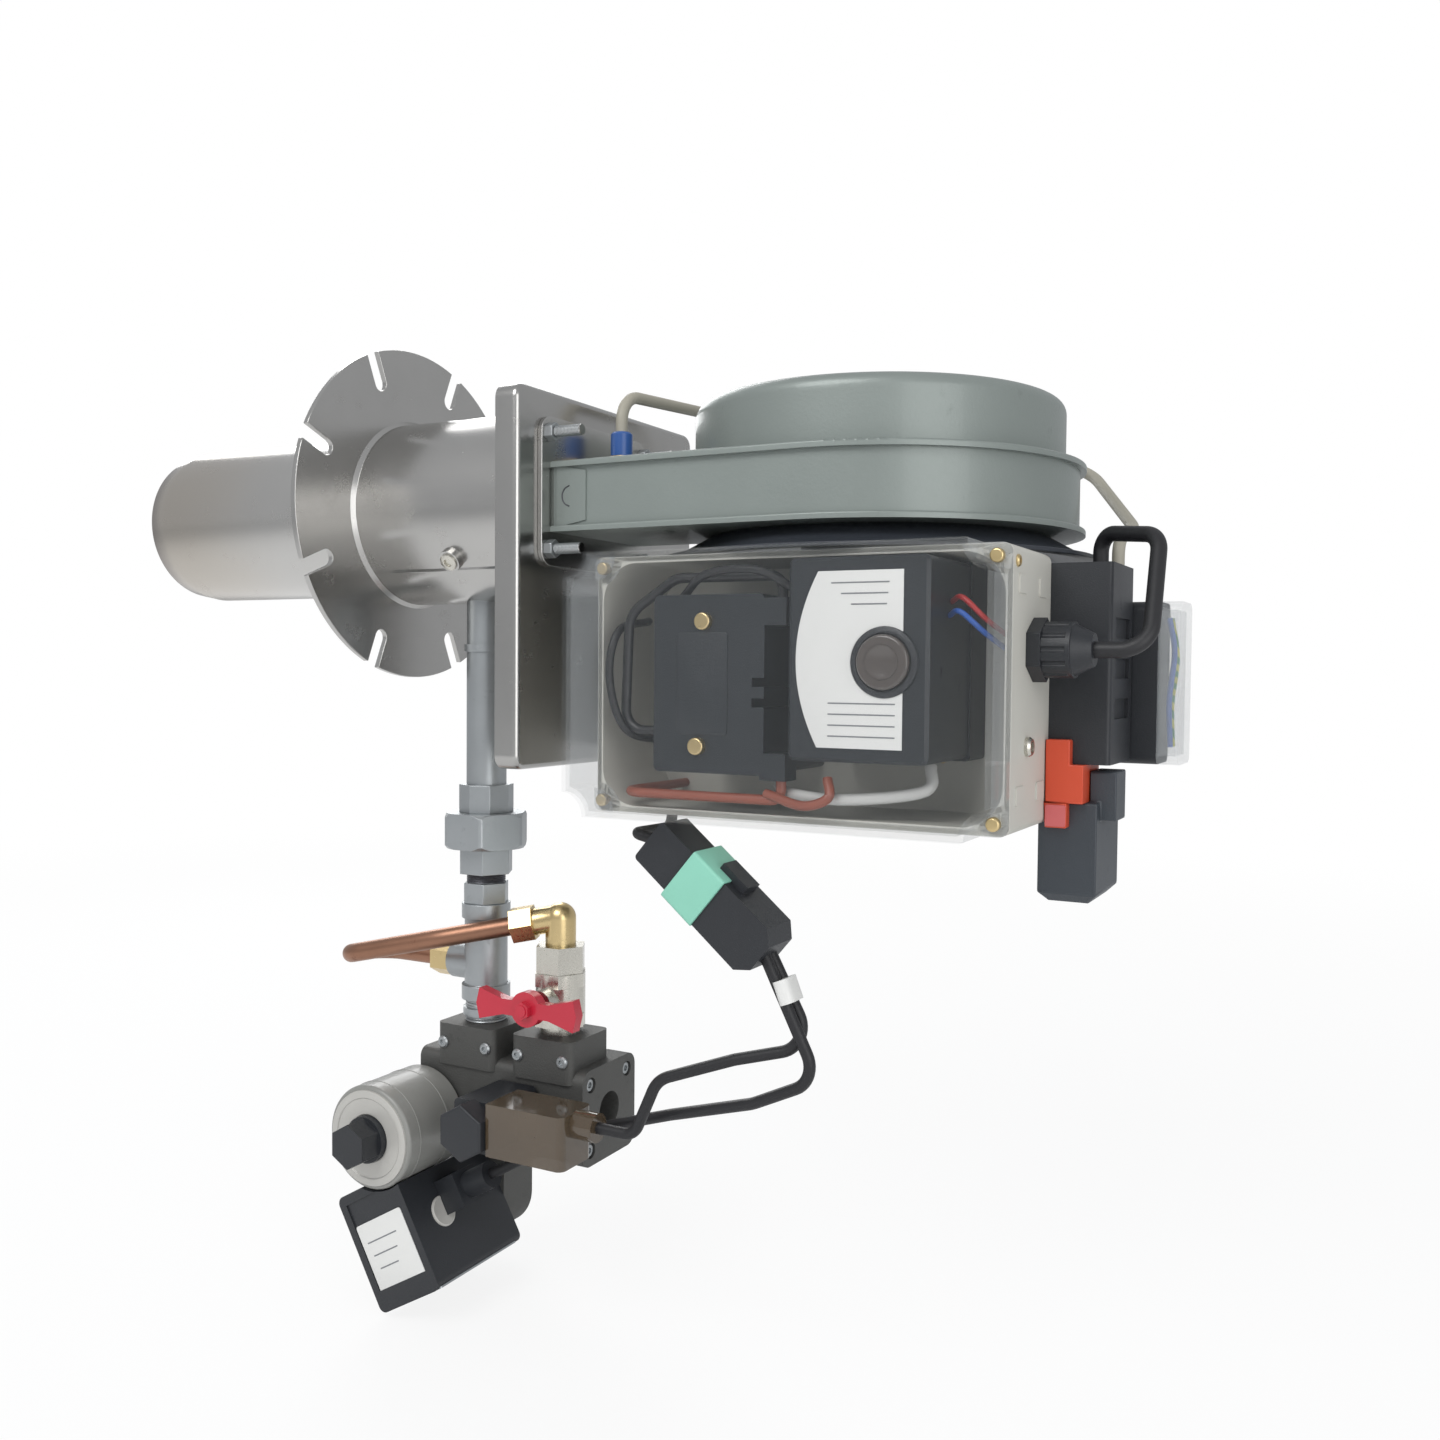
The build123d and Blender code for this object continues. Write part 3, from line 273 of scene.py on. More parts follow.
# %% [markdown]
# Two finishes change with the place on the piece. The clear lid shows least where its pane is
# thin and flat, and more at its walls, which start behind the pane; the walls also get a lighter colour,
# partly their greyish plastic and partly a painted highlight for the sheen on their edges. The two ignition
# leads are
# one node: the upper one is black, the one that runs under it red-brown.

# %% Clear lid and ignition leads
PANE_CLEAR, WALL_TINT_AND_SHEEN = (0.30, 0.32, 0.33, 1), (0.66, 0.69, 0.70, 1)
RED_BROWN, LEAD_BLACK = (0.27, 0.075, 0.045, 1), (0.012, 0.012, 0.014, 1)
clear = keep("clear_plastic", surface("clear_plastic", PANE_CLEAR, 0.06, mottle=0.04, grain=260.0,
                                      depth=0.02, marks=0.2, coat=1.0, spread=0.03))
side_wall = clear.steps(clear.axis("Y"), -0.0672, -0.0660)
# The walls' lighter colour is partly the greyish plastic and partly a painted highlight.
clear.set(Base_Color=clear.mix(side_wall, PANE_CLEAR, WALL_TINT_AND_SHEEN), Alpha=side_wall * 0.19 + 0.05)
leads = keep("lead_silicone", surface("lead_silicone", RED_BROWN, 0.38, grain=800.0, depth=0.10))
upper = leads.steps(leads.axis("Z"), -0.1210, -0.1195)
leads.set(Base_Color=leads.mix(upper, RED_BROWN, LEAD_BLACK))

# %% [markdown]
# ### Stainless steel near a flame
# The tube is rolled sheet: its grain runs round it, so the noise is squeezed along X. Heat
# turns the mouth straw and brown, which is a mask along X broken up by noise. A weld seam
# would be lighter; here the tint fades out before the flange.

# %% Stainless finishes
def stainless(name, stretch, tint, tone=1.0):
    f = Finish(name)
    line = f.noise(1600.0, 2.0, stretch)
    slow = f.noise(20.0, 5.0, (1, 1, 1), 0.6)
    smudge = f.steps(f.noise(55.0, 6.0, rough=0.7), 0.52, 0.72)
    base = f.mix(slow, shade((0.58, 0.57, 0.55), tone), shade((0.68, 0.67, 0.65), tone))
    base = f.mix(smudge * 0.08, base, shade((0.42, 0.39, 0.35), tone))
    if tint:
        heat = f.steps(f.axis("X") * -1.0 + slow * 0.05, 0.075, 0.165)
        base = f.mix(heat * 0.40, base, (0.46, 0.38, 0.28, 1))
        scorch = f.steps(f.axis("X") * -1.0 + slow * 0.02, 0.158, 0.172)
        base = f.mix(scorch * 0.5, base, (0.20, 0.18, 0.19, 1))
    f.set(Base_Color=base, Metallic=1.0)
    f.set(Roughness=line * 0.06 + smudge * 0.05 + 0.21)
    f.set(Normal=f.bump(line, 0.04, 0.0003))
    return f


keep("tube_steel", stainless("tube_steel", (1.0, 0.05, 0.05), True, 0.9))
keep("flange_steel", stainless("flange_steel", (1.0, 0.10, 1.0), False, 0.78))
keep("pan_steel", stainless("pan_steel", (1.0, 0.08, 1.0), False, 0.70))

# %% [markdown]
# ## Dressing the CAD nodes
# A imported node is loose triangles, so a copy is merged first. Faces that meet at less than
# 32 degrees are shaded smooth, and a small bevel gives the edges the highlight that a real
# moulding or turned part has.

# %% Dress a node
def merged_copy(node):
    source = frame["nodes"][node].data
    count = len(source.vertices)
    points = np.empty(count * 3)
    source.vertices.foreach_get("co", points)
    corners = np.empty(len(source.loops), int)
    source.loops.foreach_get("vertex_index", corners)
    keys, back = np.unique(np.round(points.reshape(-1, 3), 6), axis=0, return_inverse=True)
    faces = back.reshape(-1)[corners].reshape(-1, 3)
    alive = (faces[:, 0] != faces[:, 1]) & (faces[:, 1] != faces[:, 2]) & (faces[:, 0] != faces[:, 2])
    mesh = bpy.data.meshes.new("dressed_" + node)
    mesh.from_pydata(keys.tolist(), [], faces[alive].tolist())
    mesh.validate()
    return mesh


def smooth(mesh, angle):
    mesh.polygons.foreach_set("use_smooth", np.ones(len(mesh.polygons), bool))
    mesh.set_sharp_from_angle(angle=radians(angle))
    mesh.update()


def place(name, mesh, finish, body="burner"):
    piece = bpy.data.objects.new(name, mesh)
    bpy.context.scene.collection.objects.link(piece)
    mesh.materials.clear()
    mesh.materials.append(FINISH[finish])
    if body:
        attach(piece, body)
    return piece


def dress(node, finish, bevel=0.4, angle=32):
    mesh = merged_copy(node)
    smooth(mesh, angle)
    piece = place("dressed_" + node, mesh, finish, frame["nodes"][node]["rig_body"])
    if bevel:
        edge = piece.modifiers.new("edge", "BEVEL")
        edge.width = bevel * MM
        edge.segments = 2
        edge.limit_method = "ANGLE"
        edge.angle_limit = radians(38)
        edge.harden_normals = False
        edge.use_clamp_overlap = True
    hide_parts(node)
    return piece

# %% [markdown]
# Each node gets the finish of its real material. The moving nodes ride on their own bodies,
# which the frame already knows.

# %% Finish of each node
DRESS = {
    "tube_steel": ["flame_tube"],
    "flange_steel": ["mounting_flange", "mixing_housing", "diffuser_disc", "outlet_flange"],
    "pan_steel": ["mounting_pan"],
    "zinc": ["gas_nozzle", "gas_inlet_pipe", "outlet_nuts", "motor_shaft", "box_bracket", "union_upper",
             "union_nut", "union_lower", "pipe_nipples", "gas_tee", "main_plunger", "pilot_plunger",
             "safety_plunger"],
    "ceramic": ["ignition_electrodes", "ionisation_probe"],
    "blower_paint": ["blower_volute", "blower_lid", "inlet_drum", "inlet_cover"],
    "wheel": ["impeller"],
    "dark_paint": ["motor_dish", "motor_housing"],
    "brass": ["air_fitting", "box_screws", "bypass_fittings"],
    "blue_plastic": ["air_collar"],
    "hose": ["air_hose"],
    "grey_plastic": ["box_base"],
    "clear_plastic": ["box_lid", "air_switch_cover"],
    "transformer_plastic": ["ignition_transformer", "burner_control"],
    "black_plastic": ["control_base", "gland_body", "gland_nut", "terminal_socket", "air_switch",
                      "pilot_coil", "coil_caps", "coil_box", "coil_gland", "inline_connector"],
    "button": ["reset_button"],
    "lead_silicone": ["hv_leads"],
    "rubber": ["blower_cable", "valve_cables"],
    "red_plastic": ["lock_pieces"],
    "slate_plastic": ["grey_plug"],
    "cast": ["valve_block"],
    "coil": ["main_coil"],
    "amber_plastic": ["din_connector"],
    "nickel": ["ball_valve_body"],
    "red_handle": ["ball_valve_handle"],
    "copper": ["copper_bypass"],
}
BEVELS = {"box_base": 0.8, "valve_block": 1.2, "coil_box": 0.8, "ignition_transformer": 0.8,
          "burner_control": 0.6, "terminal_socket": 0.8, "grey_plug": 0.8, "inline_connector": 0.7,
          "union_nut": 0.7, "coil_caps": 0.7, "lock_pieces": 0.5, "mounting_pan": 0.3,
          "diffuser_disc": 0, "ignition_electrodes": 0, "ionisation_probe": 0, "air_hose": 0,
          "valve_cables": 0, "blower_cable": 0, "hv_leads": 0, "copper_bypass": 0, "impeller": 0,
          "flame_tube": 0.2, "mixing_housing": 0.2, "blower_volute": 0, "blower_lid": 0,
          "inlet_drum": 0, "inlet_cover": 0, "air_collar": 0, "motor_shaft": 0, "gland_nut": 0.2}
for finish, nodes in DRESS.items():
    for node in nodes:
        dress(node, finish, BEVELS.get(node, 0.3))
missing = set(frame["nodes"]) - {n for nodes in DRESS.values() for n in nodes}
print("dressed; left over:", sorted(missing))

# %% [markdown]
# ## Surfaces from arrays
# New pieces are grids of points. `skin` joins a grid of rows and columns into faces, closing
# it round or over its ends where asked. A profile turned about an axis and a round wire along
# a path are both such grids.

# %% Grid to mesh
def skin(name, grid, finish, round_u=False, round_v=True, caps=True, body="burner", angle=35):
    """Faces join neighbours of a rows x columns x 3 grid; a cap closes each end row."""
    rows, cols = grid.shape[:2]
    ids = np.arange(rows * cols).reshape(rows, cols)
    down = np.roll(ids, -1, 0) if round_u else ids[1:]
    here = ids if round_u else ids[:-1]
    if round_v:
        quads = np.stack([here, np.roll(here, -1, 1), np.roll(down, -1, 1), down], -1)
    else:
        quads = np.stack([here[:, :-1], here[:, 1:], down[:, 1:], down[:, :-1]], -1)
    faces = quads.reshape(-1, 4).tolist()
    if caps and not round_u:
        faces += [ids[0][::-1].tolist(), ids[-1].tolist()]
    mesh = bpy.data.meshes.new(name)
    mesh.from_pydata(grid.reshape(-1, 3).tolist(), [], faces)
    smooth(mesh, angle)
    return place(name, mesh, finish, body)


def frame_of(direction):
    """Two unit vectors square to direction."""
    d = np.asarray(direction, float)
    d /= np.linalg.norm(d)
    side = np.cross(d, (0, 0, 1.0) if abs(d[2]) < 0.9 else (1.0, 0, 0))
    side /= np.linalg.norm(side)
    return side, np.cross(d, side)


def turned(name, start, end, profile, finish, body="burner", sides=40, angle=35, ring=False):
    """Circle of radius r at each (distance, r) of the profile, along the line start-end, in mm.

    A ring's profile closes on itself, so its middle stays open."""
    start = np.asarray(start, float)
    way = np.asarray(end, float) - start
    way /= np.linalg.norm(way)
    u, v = frame_of(way)
    turn = np.linspace(0, 2 * pi, sides, endpoint=False)
    reach, radius = np.asarray(profile, float).T
    circle = np.cos(turn)[:, None] * u + np.sin(turn)[:, None] * v
    grid = start + reach[:, None, None] * way + radius[:, None, None] * circle[None]
    return skin(name, grid * MM, finish, round_u=ring, caps=not ring, body=body, angle=angle)


def wire(name, points, radius, finish, body="burner", sides=12, steps=14):
    """Round wire through the points: a Catmull-Rom curve, with a ring square to it at each step."""
    p = np.asarray(points, float)
    p = np.vstack([2 * p[0] - p[1], p, 2 * p[-1] - p[-2]])
    t = np.linspace(0, 1, steps, endpoint=False)[:, None, None]
    a, b, c, d = p[None, :-3], p[None, 1:-2], p[None, 2:-1], p[None, 3:]
    curve = 0.5 * (2 * b + (c - a) * t + (2 * a - 5 * b + 4 * c - d) * t**2
                   + (3 * b - a - 3 * c + d) * t**3)
    line = np.vstack([curve.transpose(1, 0, 2).reshape(-1, 3), p[-2]])
    way = np.gradient(line, axis=0)
    way /= np.linalg.norm(way, axis=1)[:, None]
    lean = np.array((0.31, 0.22, 0.92))
    u = np.cross(way, lean)
    u /= np.linalg.norm(u, axis=1)[:, None]
    v = np.cross(way, u)
    turn = np.linspace(0, 2 * pi, sides, endpoint=False)
    ring = np.cos(turn)[None, :, None] * u[:, None] + np.sin(turn)[None, :, None] * v[:, None]
    return skin(name, (line[:, None] + radius * ring) * MM, finish, body=body, angle=60)


def plate(name, outline, origin, across, up, thick, finish, body="burner"):
    """Flat plate: a closed outline of (across, up) points, standing thick off its back, in mm."""
    across, up = (np.asarray(w, float) / np.linalg.norm(w) for w in (across, up))
    out = np.cross(across, up)
    shape = np.asarray(outline, float)
    flat = np.asarray(origin, float) + shape[:, :1] * across + shape[:, 1:] * up
    inner = flat.mean(0) + (flat - flat.mean(0)) * 0.985
    grid = np.stack([flat, flat + out * thick * 0.75, inner + out * thick])
    return skin(name, grid * MM, finish, body=body, angle=30)


def rounded(width, height, radius, count=6):
    """Corners of a rectangle replaced by quarter circles, anticlockwise about its middle."""
    turn = np.linspace(0, pi / 2, count)
    arcs = []
    for k, (sx, sy) in enumerate([(1, 1), (-1, 1), (-1, -1), (1, -1)]):
        a = turn + k * pi / 2
        arcs.append(np.stack([sx * (width / 2 - radius) + radius * np.cos(a),
                              sy * (height / 2 - radius) + radius * np.sin(a)], 1))
    return np.vstack(arcs)


def screw_head(name, centre, out, radius, finish, body="burner"):
    """Domed head with a drive recess: a turned profile that dips in the middle."""
    c, o = np.asarray(centre, float), np.asarray(out, float)
    height = radius * 0.55
    profile = [(0, radius), (height * 0.55, radius), (height, radius * 0.78), (height, radius * 0.42),
               (height * 0.45, radius * 0.40), (height * 0.45, radius * 0.05)]
    return turned(name, c, c + o, profile, finish, body, sides=24)

# %% [markdown]
# ## The control box
# Behind the clear lid sit the burner control and the ignition transformer. The control's
# face carries a pale plate, left bare, with a bowed left edge and a round bite beside the
# reset button; thin grey rules break it up as a terminal chart would.

# %% Box contents
RECESS = {"across": (1, 0, 0), "up": (0, 0, 1)}
control_lo, control_hi = (np.array(c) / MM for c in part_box("burner_control"))
button_lo, button_hi = (np.array(c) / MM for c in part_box("reset_button"))
button = (button_lo + button_hi) / 2
face_y = control_lo[1]
left, right = control_lo[0] + 4, control_hi[0] - 11
low, high = control_lo[2] + 6, control_hi[2] - 6
PAPER, INK = 0.4, 0.12      # how far a label and its rules stand up, mm
BOW = 10.0                  # how far the label's left edge bows out
BITE_R, BITE_EDGE = 15.0, 57.8      # gap beside the button, and the angle where it starts
bow = np.linspace(1, -1, 24)
bite = np.linspace(radians(-BITE_EDGE), radians(BITE_EDGE - 360), 28)
label = [(left + BOW * b**2, (low + high) / 2 + b * (high - low) / 2) for b in bow]
label += [(right, low)]
label += [(button[0] + BITE_R * cos(a), button[2] + BITE_R * sin(a)) for a in bite]
label += [(right, high)]
plate("control_label", label, (0, face_y, 0), **RECESS, thick=PAPER, finish="label_white")
for i in range(4):
    z = low + 5 + i * 4.6
    plate(f"chart_rule_{i}", rounded(right - left - 18, 0.6, 0.25, 3), (right - 18, face_y - PAPER, z),
          **RECESS, thick=INK, finish="label_grey")
for i in range(3):
    z = high - 5 - i * 4.5
    plate(f"label_rule_{i}", rounded(26 - 5 * i, 0.6, 0.25, 3), (right - 19 + 2 * i, face_y - PAPER, z),
          **RECESS, thick=INK, finish="label_grey")
turned("button_collar", (button[0], face_y, button[2]), (button[0], face_y - 1, button[2]),
       [(0, 15.0), (1.2, 14.6), (1.8, 13.4), (1.8, 12.2), (0, 12.0)], "black_plastic", ring=True)
turned("button_dimple", (button[0], button_lo[1], button[2]), (button[0], button_lo[1] - 1, button[2]),
       [(0, 7.5), (0.5, 7.2), (0.5, 6.2), (0.1, 5.4)], "button", "reset")

# %% [markdown]
# The wires are thin and held at both ends, so each is one smooth curve through a few points:
# a pale cable under the control, a red and a blue wire towards the gland, two black wires
# round the transformer and a red-brown one under it. The ignition leads are CAD nodes.

# %% Wires in the box
gland_lo, gland_hi = (np.array(c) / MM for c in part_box("gland_body"))
entry = (gland_lo + gland_hi) / 2 - (8, 0, 0)
wall = (np.array(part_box("box_base")[0]) / MM)[0] + 4
left, right, under = control_lo[0], control_hi[0], control_lo[2]
wire("pale_cable", [(right - 8, -30, under - 2), (right - 8, -38, under - 12), (left + 22, -42, under - 17),
                    (left - 6, -40, under - 16), (left - 22, -20, under - 14)], 2.6, "wire_white")
for k, (finish, drop) in enumerate([("wire_red", 0), ("wire_blue", 6)]):
    wire(f"gland_{finish}", [(control_hi[0], -30 - 3 * k, control_hi[2] - 18 - drop),
                             (control_hi[0] + 8, -40 - 3 * k, control_hi[2] - 17 - drop),
                             (control_hi[0] + 17, -36, control_hi[2] - 26 - drop),
                             (entry[0] - 2, entry[1], entry[2] + 3 - drop)], 1.2, finish)
wire("black_loop", [(wall + 6, -10, -60), (wall + 10, -44, -66), (wall + 9, -50, -88),
                    (wall + 16, -46, -112), (wall + 26, -20, -118)], 1.9, "rubber")
wire("black_arc", [(wall + 44, -42, -50), (wall + 60, -50, -41), (wall + 86, -52, -40),
                   (wall + 104, -44, -50)], 1.9, "rubber")
wire("brown_hook", [(wall + 88, -45, -138), (wall + 108, -50, -142), (wall + 120, -50, -138),
                    (wall + 118, -46, -130)], 2.2, "silicone")
for i in range(5):
    screw_head(f"terminal_screw_{i}", (left + 8 + i * 11, -5.5, under - 1.2), (0, -1, 0), 1.1, "brass")

# %% [markdown]
# The transformer's resin block has a shallow step round its face and a pale rating field on
# the real part; the field stays bare. Low pads stand on the base's end wall.

# %% Transformer and wall details
tr_lo, tr_hi = (np.array(c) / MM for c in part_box("ignition_transformer"))
plate("transformer_field", rounded(26, 46, 2), (tr_lo[0] + 25, tr_lo[1], (tr_lo[2] + tr_hi[2]) / 2 + 1),
      **RECESS, thick=0.5, finish="transformer_plastic")
base_hi = np.array(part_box("box_base")[1]) / MM
SIDE = {"across": (0, 1, 0), "up": (0, 0, 1)}
for i, (y, z, w, h) in enumerate([(-26, -47, 12, 8), (-26, -135, 12, 8), (6, -47, 12, 8), (6, -135, 12, 8)]):
    plate(f"wall_pad_{i}", rounded(w, h, 1.2), (base_hi[0], y, z), **SIDE, thick=0.6, finish="grey_plastic")
turned("panel_bushing", (base_hi[0], -16, -115), (base_hi[0] + 1, -16, -115),
       [(0, 4.2), (1.5, 4.2), (2.6, 3.4), (2.6, 2.4), (0.6, 2.2), (0.6, 0.1)], "nickel", sides=28)
screw_head("base_screw", (base_hi[0] - 0.2, -34, -38), (1, 0, 0), 2.6, "brass")

# %% [markdown]
# ## Beside the box
# The pressure switch shows a blue and a yellow-green wire behind its clear cover. A striped
# wire is one colour with a band wound round it, so the mask is a sine of height and angle.

# %% Switch wires and lock pieces
stripe = surface("wire_earth", (0.50, 0.52, 0.03), 0.36, 0.0, 0.05, 900.0, 0.06)
turns = stripe.axis("Z") * 900.0 + stripe.axis("Y") * 900.0
band = stripe.steps(stripe.node("ShaderNodeMath", {"operation": "SINE"}, {0: turns}), -0.1, 0.1)
stripe.set(Base_Color=stripe.mix(band, (0.50, 0.50, 0.03, 1), (0.03, 0.22, 0.05, 1)))
keep("wire_earth", stripe)
sw_lo, sw_hi = (np.array(c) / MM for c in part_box("air_switch_cover"))
x = sw_lo[0] + 4
wire("switch_blue", [(x, sw_lo[1] + 6, sw_hi[2] - 8), (x + 1.5, sw_lo[1] + 12, sw_hi[2] - 24),
                     (x, sw_lo[1] + 9, sw_hi[2] - 46), (x, sw_lo[1] + 14, sw_lo[2] + 8)], 1.3, "wire_blue")
wire("switch_earth", [(x, sw_lo[1] + 12, sw_hi[2] - 8), (x + 1.5, sw_lo[1] + 19, sw_hi[2] - 26),
                      (x, sw_lo[1] + 16, sw_hi[2] - 48), (x, sw_lo[1] + 20, sw_lo[2] + 8)], 1.3, "wire_earth")
lock_lo = np.array(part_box("lock_pieces")[0]) / MM
plate("lower_lock_cap", rounded(9.0, 9.6, 1.0), (lock_lo[0] + 4.75, lock_lo[1], lock_lo[2] + 5.4), **RECESS,
      thick=0.5, finish="pink_plastic")

# %% [markdown]
# ## The gas train
# The main coil ends in a light disc, and the tilted coil housing carries a bare white plate,
# a plain round badge and a steel sole plate. All of these stand a fraction of a millimetre
# off the faces they sit on.

# %% Coil details
coil_lo, coil_hi = (np.array(c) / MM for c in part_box("main_coil"))
axis = np.array([(coil_lo[0] + coil_hi[0]) / 2, coil_lo[1], (coil_lo[2] + coil_hi[2]) / 2])
coil_r = (coil_hi[0] - coil_lo[0]) / 2
turned("coil_end_disc", axis, axis - (0, 1, 0),
       [(-0.3, coil_r - 2.2), (0.8, coil_r - 2.4), (1.2, coil_r - 3.2), (1.2, coil_r - 6),
        (0.7, coil_r - 6.6), (0.7, 12.6), (0.2, 12.0)], "end_disc", sides=56)
for k, offset_y in enumerate((8.0, 30.0)):
    turned(f"coil_band_{k}", axis + (0, offset_y, 0), axis + (0, offset_y + 1, 0),
           [(0, coil_r - 0.4), (0.4, coil_r + 0.25), (2.0, coil_r + 0.25), (2.4, coil_r - 0.4)], "coil",
           sides=56, ring=True)
COIL_TILT = radians(30)
E = np.array((cos(COIL_TILT), 0, sin(COIL_TILT)))
D = np.array((sin(COIL_TILT), 0, -cos(COIL_TILT)))
COIL_FACE = np.array((36.2, -60.0, -378.6))      # middle of the housing's front face, mm


def tilted(e, d, y=0.0):
    """Point on the coil housing's front face: e across it, d down it, y behind it."""
    return COIL_FACE + e * E + d * D + (0, y, 0)


plate("coil_box_label", rounded(34, 36, 1.5), tilted(0, 4, 0.6), E, -D, 0.5, "label_white")
for i in range(3):
    plate(f"coil_label_rule_{i}", rounded(22 - 4 * i, 0.7, 0.3, 3), tilted(-2 - i, -4 + i * 7, 0.12), E, -D,
          0.1, "label_grey")
plate("coil_sole_plate", rounded(42, 62, 1.5), tilted(0, 31.0, 33), E, (0, 1, 0), 1.2, "zinc")
turned("coil_badge", tilted(22.0, -2, 22), tilted(23.0, -2, 22),
       [(-0.2, 8.0), (0.6, 7.8), (1.0, 7.0), (0.7, 6.4), (0.7, 0.2)], "end_disc", sides=36)

# %% [markdown]
# Pipe threads show between the fittings. A thread seen from the side is a saw wave of the
# radius along the pipe, so a turned profile with that wave is enough.

# %% Threads
def thread(name, start, end, radius, pitch, finish="dark_steel"):
    """Radius rises and falls by a third of the pitch, once per pitch."""
    length = float(np.linalg.norm(np.subtract(end, start)))
    reach = np.arange(0, length, pitch / 2)
    wave = radius + pitch * 0.16 * (-1.0) ** np.arange(len(reach))
    return turned(name, start, end, np.stack([reach, wave], 1), finish, sides=32, angle=20)


x1 = float(np.mean([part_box("gas_inlet_pipe")[0][0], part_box("gas_inlet_pipe")[1][0]])) / MM
union_gap, tee_gap, ring_top = (-194.2, -198.8), (-262.2, -273.8), -266
thread("union_thread", (x1, 0, union_gap[0]), (x1, 0, union_gap[1]), 10.3, 1.1)
thread("tee_thread", (x1, 0, tee_gap[0]), (x1, 0, tee_gap[1]), 10.7, 1.4, "zinc")
turned("tee_ring", (x1, 0, ring_top), (x1, 0, ring_top - 1),
       [(0, 10.6), (0.5, 12.2), (4.5, 12.2), (5, 10.6)], "zinc")
STUD_Y, STUD_Z, DUCT_MID = 42.5, 28, 2
for i, (y, z) in enumerate([(sy * STUD_Y, DUCT_MID + sz * STUD_Z) for sy in (-1, 1) for sz in (-1, 1)]):
    thread(f"stud_thread_{i}", (127.4, y, z), (141.6, y, z), 2.55, 0.8, "zinc")

# %% [markdown]
# Screws hold the inlet flange and the coils, and the block carries a sealed test point. Each
# head is a short turned profile with a dip for the tool.

# %% Screws on the valve block
inlet_x = (np.array(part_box("valve_block")[1]) / MM)[0]
INLET_Y, INLET_Z, SCREW_OFF = 9, -314, 17
for i, (sy, sz) in enumerate([(a, b) for a in (-1, 1) for b in (-1, 1)]):
    spot = (inlet_x - 3, INLET_Y + sy * SCREW_OFF, INLET_Z + sz * SCREW_OFF)
    screw_head(f"flange_screw_{i}", spot, (1, 0, 0), 3.8, "zinc")
for i, (sx, sz) in enumerate([(38, -284), (66, -284), (87, -284), (115, -284)]):
    screw_head(f"block_screw_{i}", (sx, -18, sz), (0, -1, 0), 3.2, "zinc")
for i, (sx, sz) in enumerate([(64, -331), (104, -331)]):
    screw_head(f"body_screw_{i}", (sx, -16, sz), (0, -1, 0), 3.4, "zinc")
BOSS_X, BOSS_LEAN = 62, radians(35)
boss = np.array((0, -cos(BOSS_LEAN), -sin(BOSS_LEAN)))
turned("test_point", (BOSS_X, 0, 0) + 48 * boss, (BOSS_X, 0, 0) + 60 * boss,
       [(3.6, 4.6), (5.8, 4.6), (6.2, 4.0), (6.2, 2.2), (5.2, 1.9), (5.2, 0.1)], "nickel", sides=24)

# %% [markdown]
# ## Tape and marker on the hanging cables
# A winding of tape is a flat band round the connector: its path is a rounded rectangle, and
# its ends stand slightly proud. The marker is a short sleeve round both cables.

# %% Tape and sleeve
HANG = radians(40)
A = np.array((cos(HANG), 0, -sin(HANG)))
B = np.array((sin(HANG), 0, cos(HANG)))
joint = np.array((214.0, -40.0, -186.0))      # middle of the inline connector, mm


def band(name, along, width, height, depth, finish, thick=0.5):
    """Rounded rectangle of depth by height round the connector's axis, drawn along it by width."""
    shape = rounded(depth + 2 * thick, height + 2 * thick, 1.6)
    ends = along + np.array([-width / 2, -width / 2 + 0.2, width / 2 - 0.2, width / 2])
    swell = np.array([0.985, 1.0, 1.0, 0.985])
    ring = shape[None, :, :1] * np.array((0, 1.0, 0)) + shape[None, :, 1:] * B
    grid = joint + ends[:, None, None] * A + swell[:, None, None] * ring
    return skin(name, grid * MM, finish, angle=40)


band("green_tape", -6, 20, 26.8, 25.8, "tape_green")
start, stop = np.array((249.5, -40.0, -220.5)), np.array((253.5, -40.0, -230.5))
way = (stop - start) / np.linalg.norm(stop - start)
flat = rounded(14, 8, 3.6)
side = np.cross(way, (0, 1.0, 0))
reach = np.linspace(0, 1, 6)[:, None, None] * (stop - start)
sleeve = start + reach + flat[None, :, :1] * np.array((0, 1.0, 0)) + flat[None, :, 1:] * side
skin("cable_marker", sleeve * MM, "label_white", angle=40)

# %% [markdown]
# ## Sheet-metal marks on the blower
# The duct's end is folded over into a tab with a stamped half moon. Both are shallow: a thin
# plate, and a thin dark wire along the half moon whose dark colour is painted shade for the stamped groove.

# %% Duct tab
duct_y = -38.0
plate("duct_tab", [(-8, -15), (9, -12), (9, 12), (-8, 15)], (132.5, duct_y, -0.5), **RECESS, thick=0.9,
      finish="blower_paint")
moon = np.linspace(radians(100), radians(260), 16)[::3]
# The half moon is a thin dark wire; its dark colour is painted shade for the groove.
wire("tab_half_moon_painted_shade", [(133 + 5 * cos(a), duct_y - 0.9, -0.5 + 5 * sin(a)) for a in moon], 0.35,
     "dark_steel")

# %% [markdown]
# ## Stage, light and camera
# The floor and backdrop are pale and plain. What the camera sees of them is nearly white,
# which a Light Path node mixes in, so the lamps can stay at a level that shows every colour
# as it is written. The camera stands where the object is usually shown from: a little to the
# right of the lid and slightly above the burner's middle.

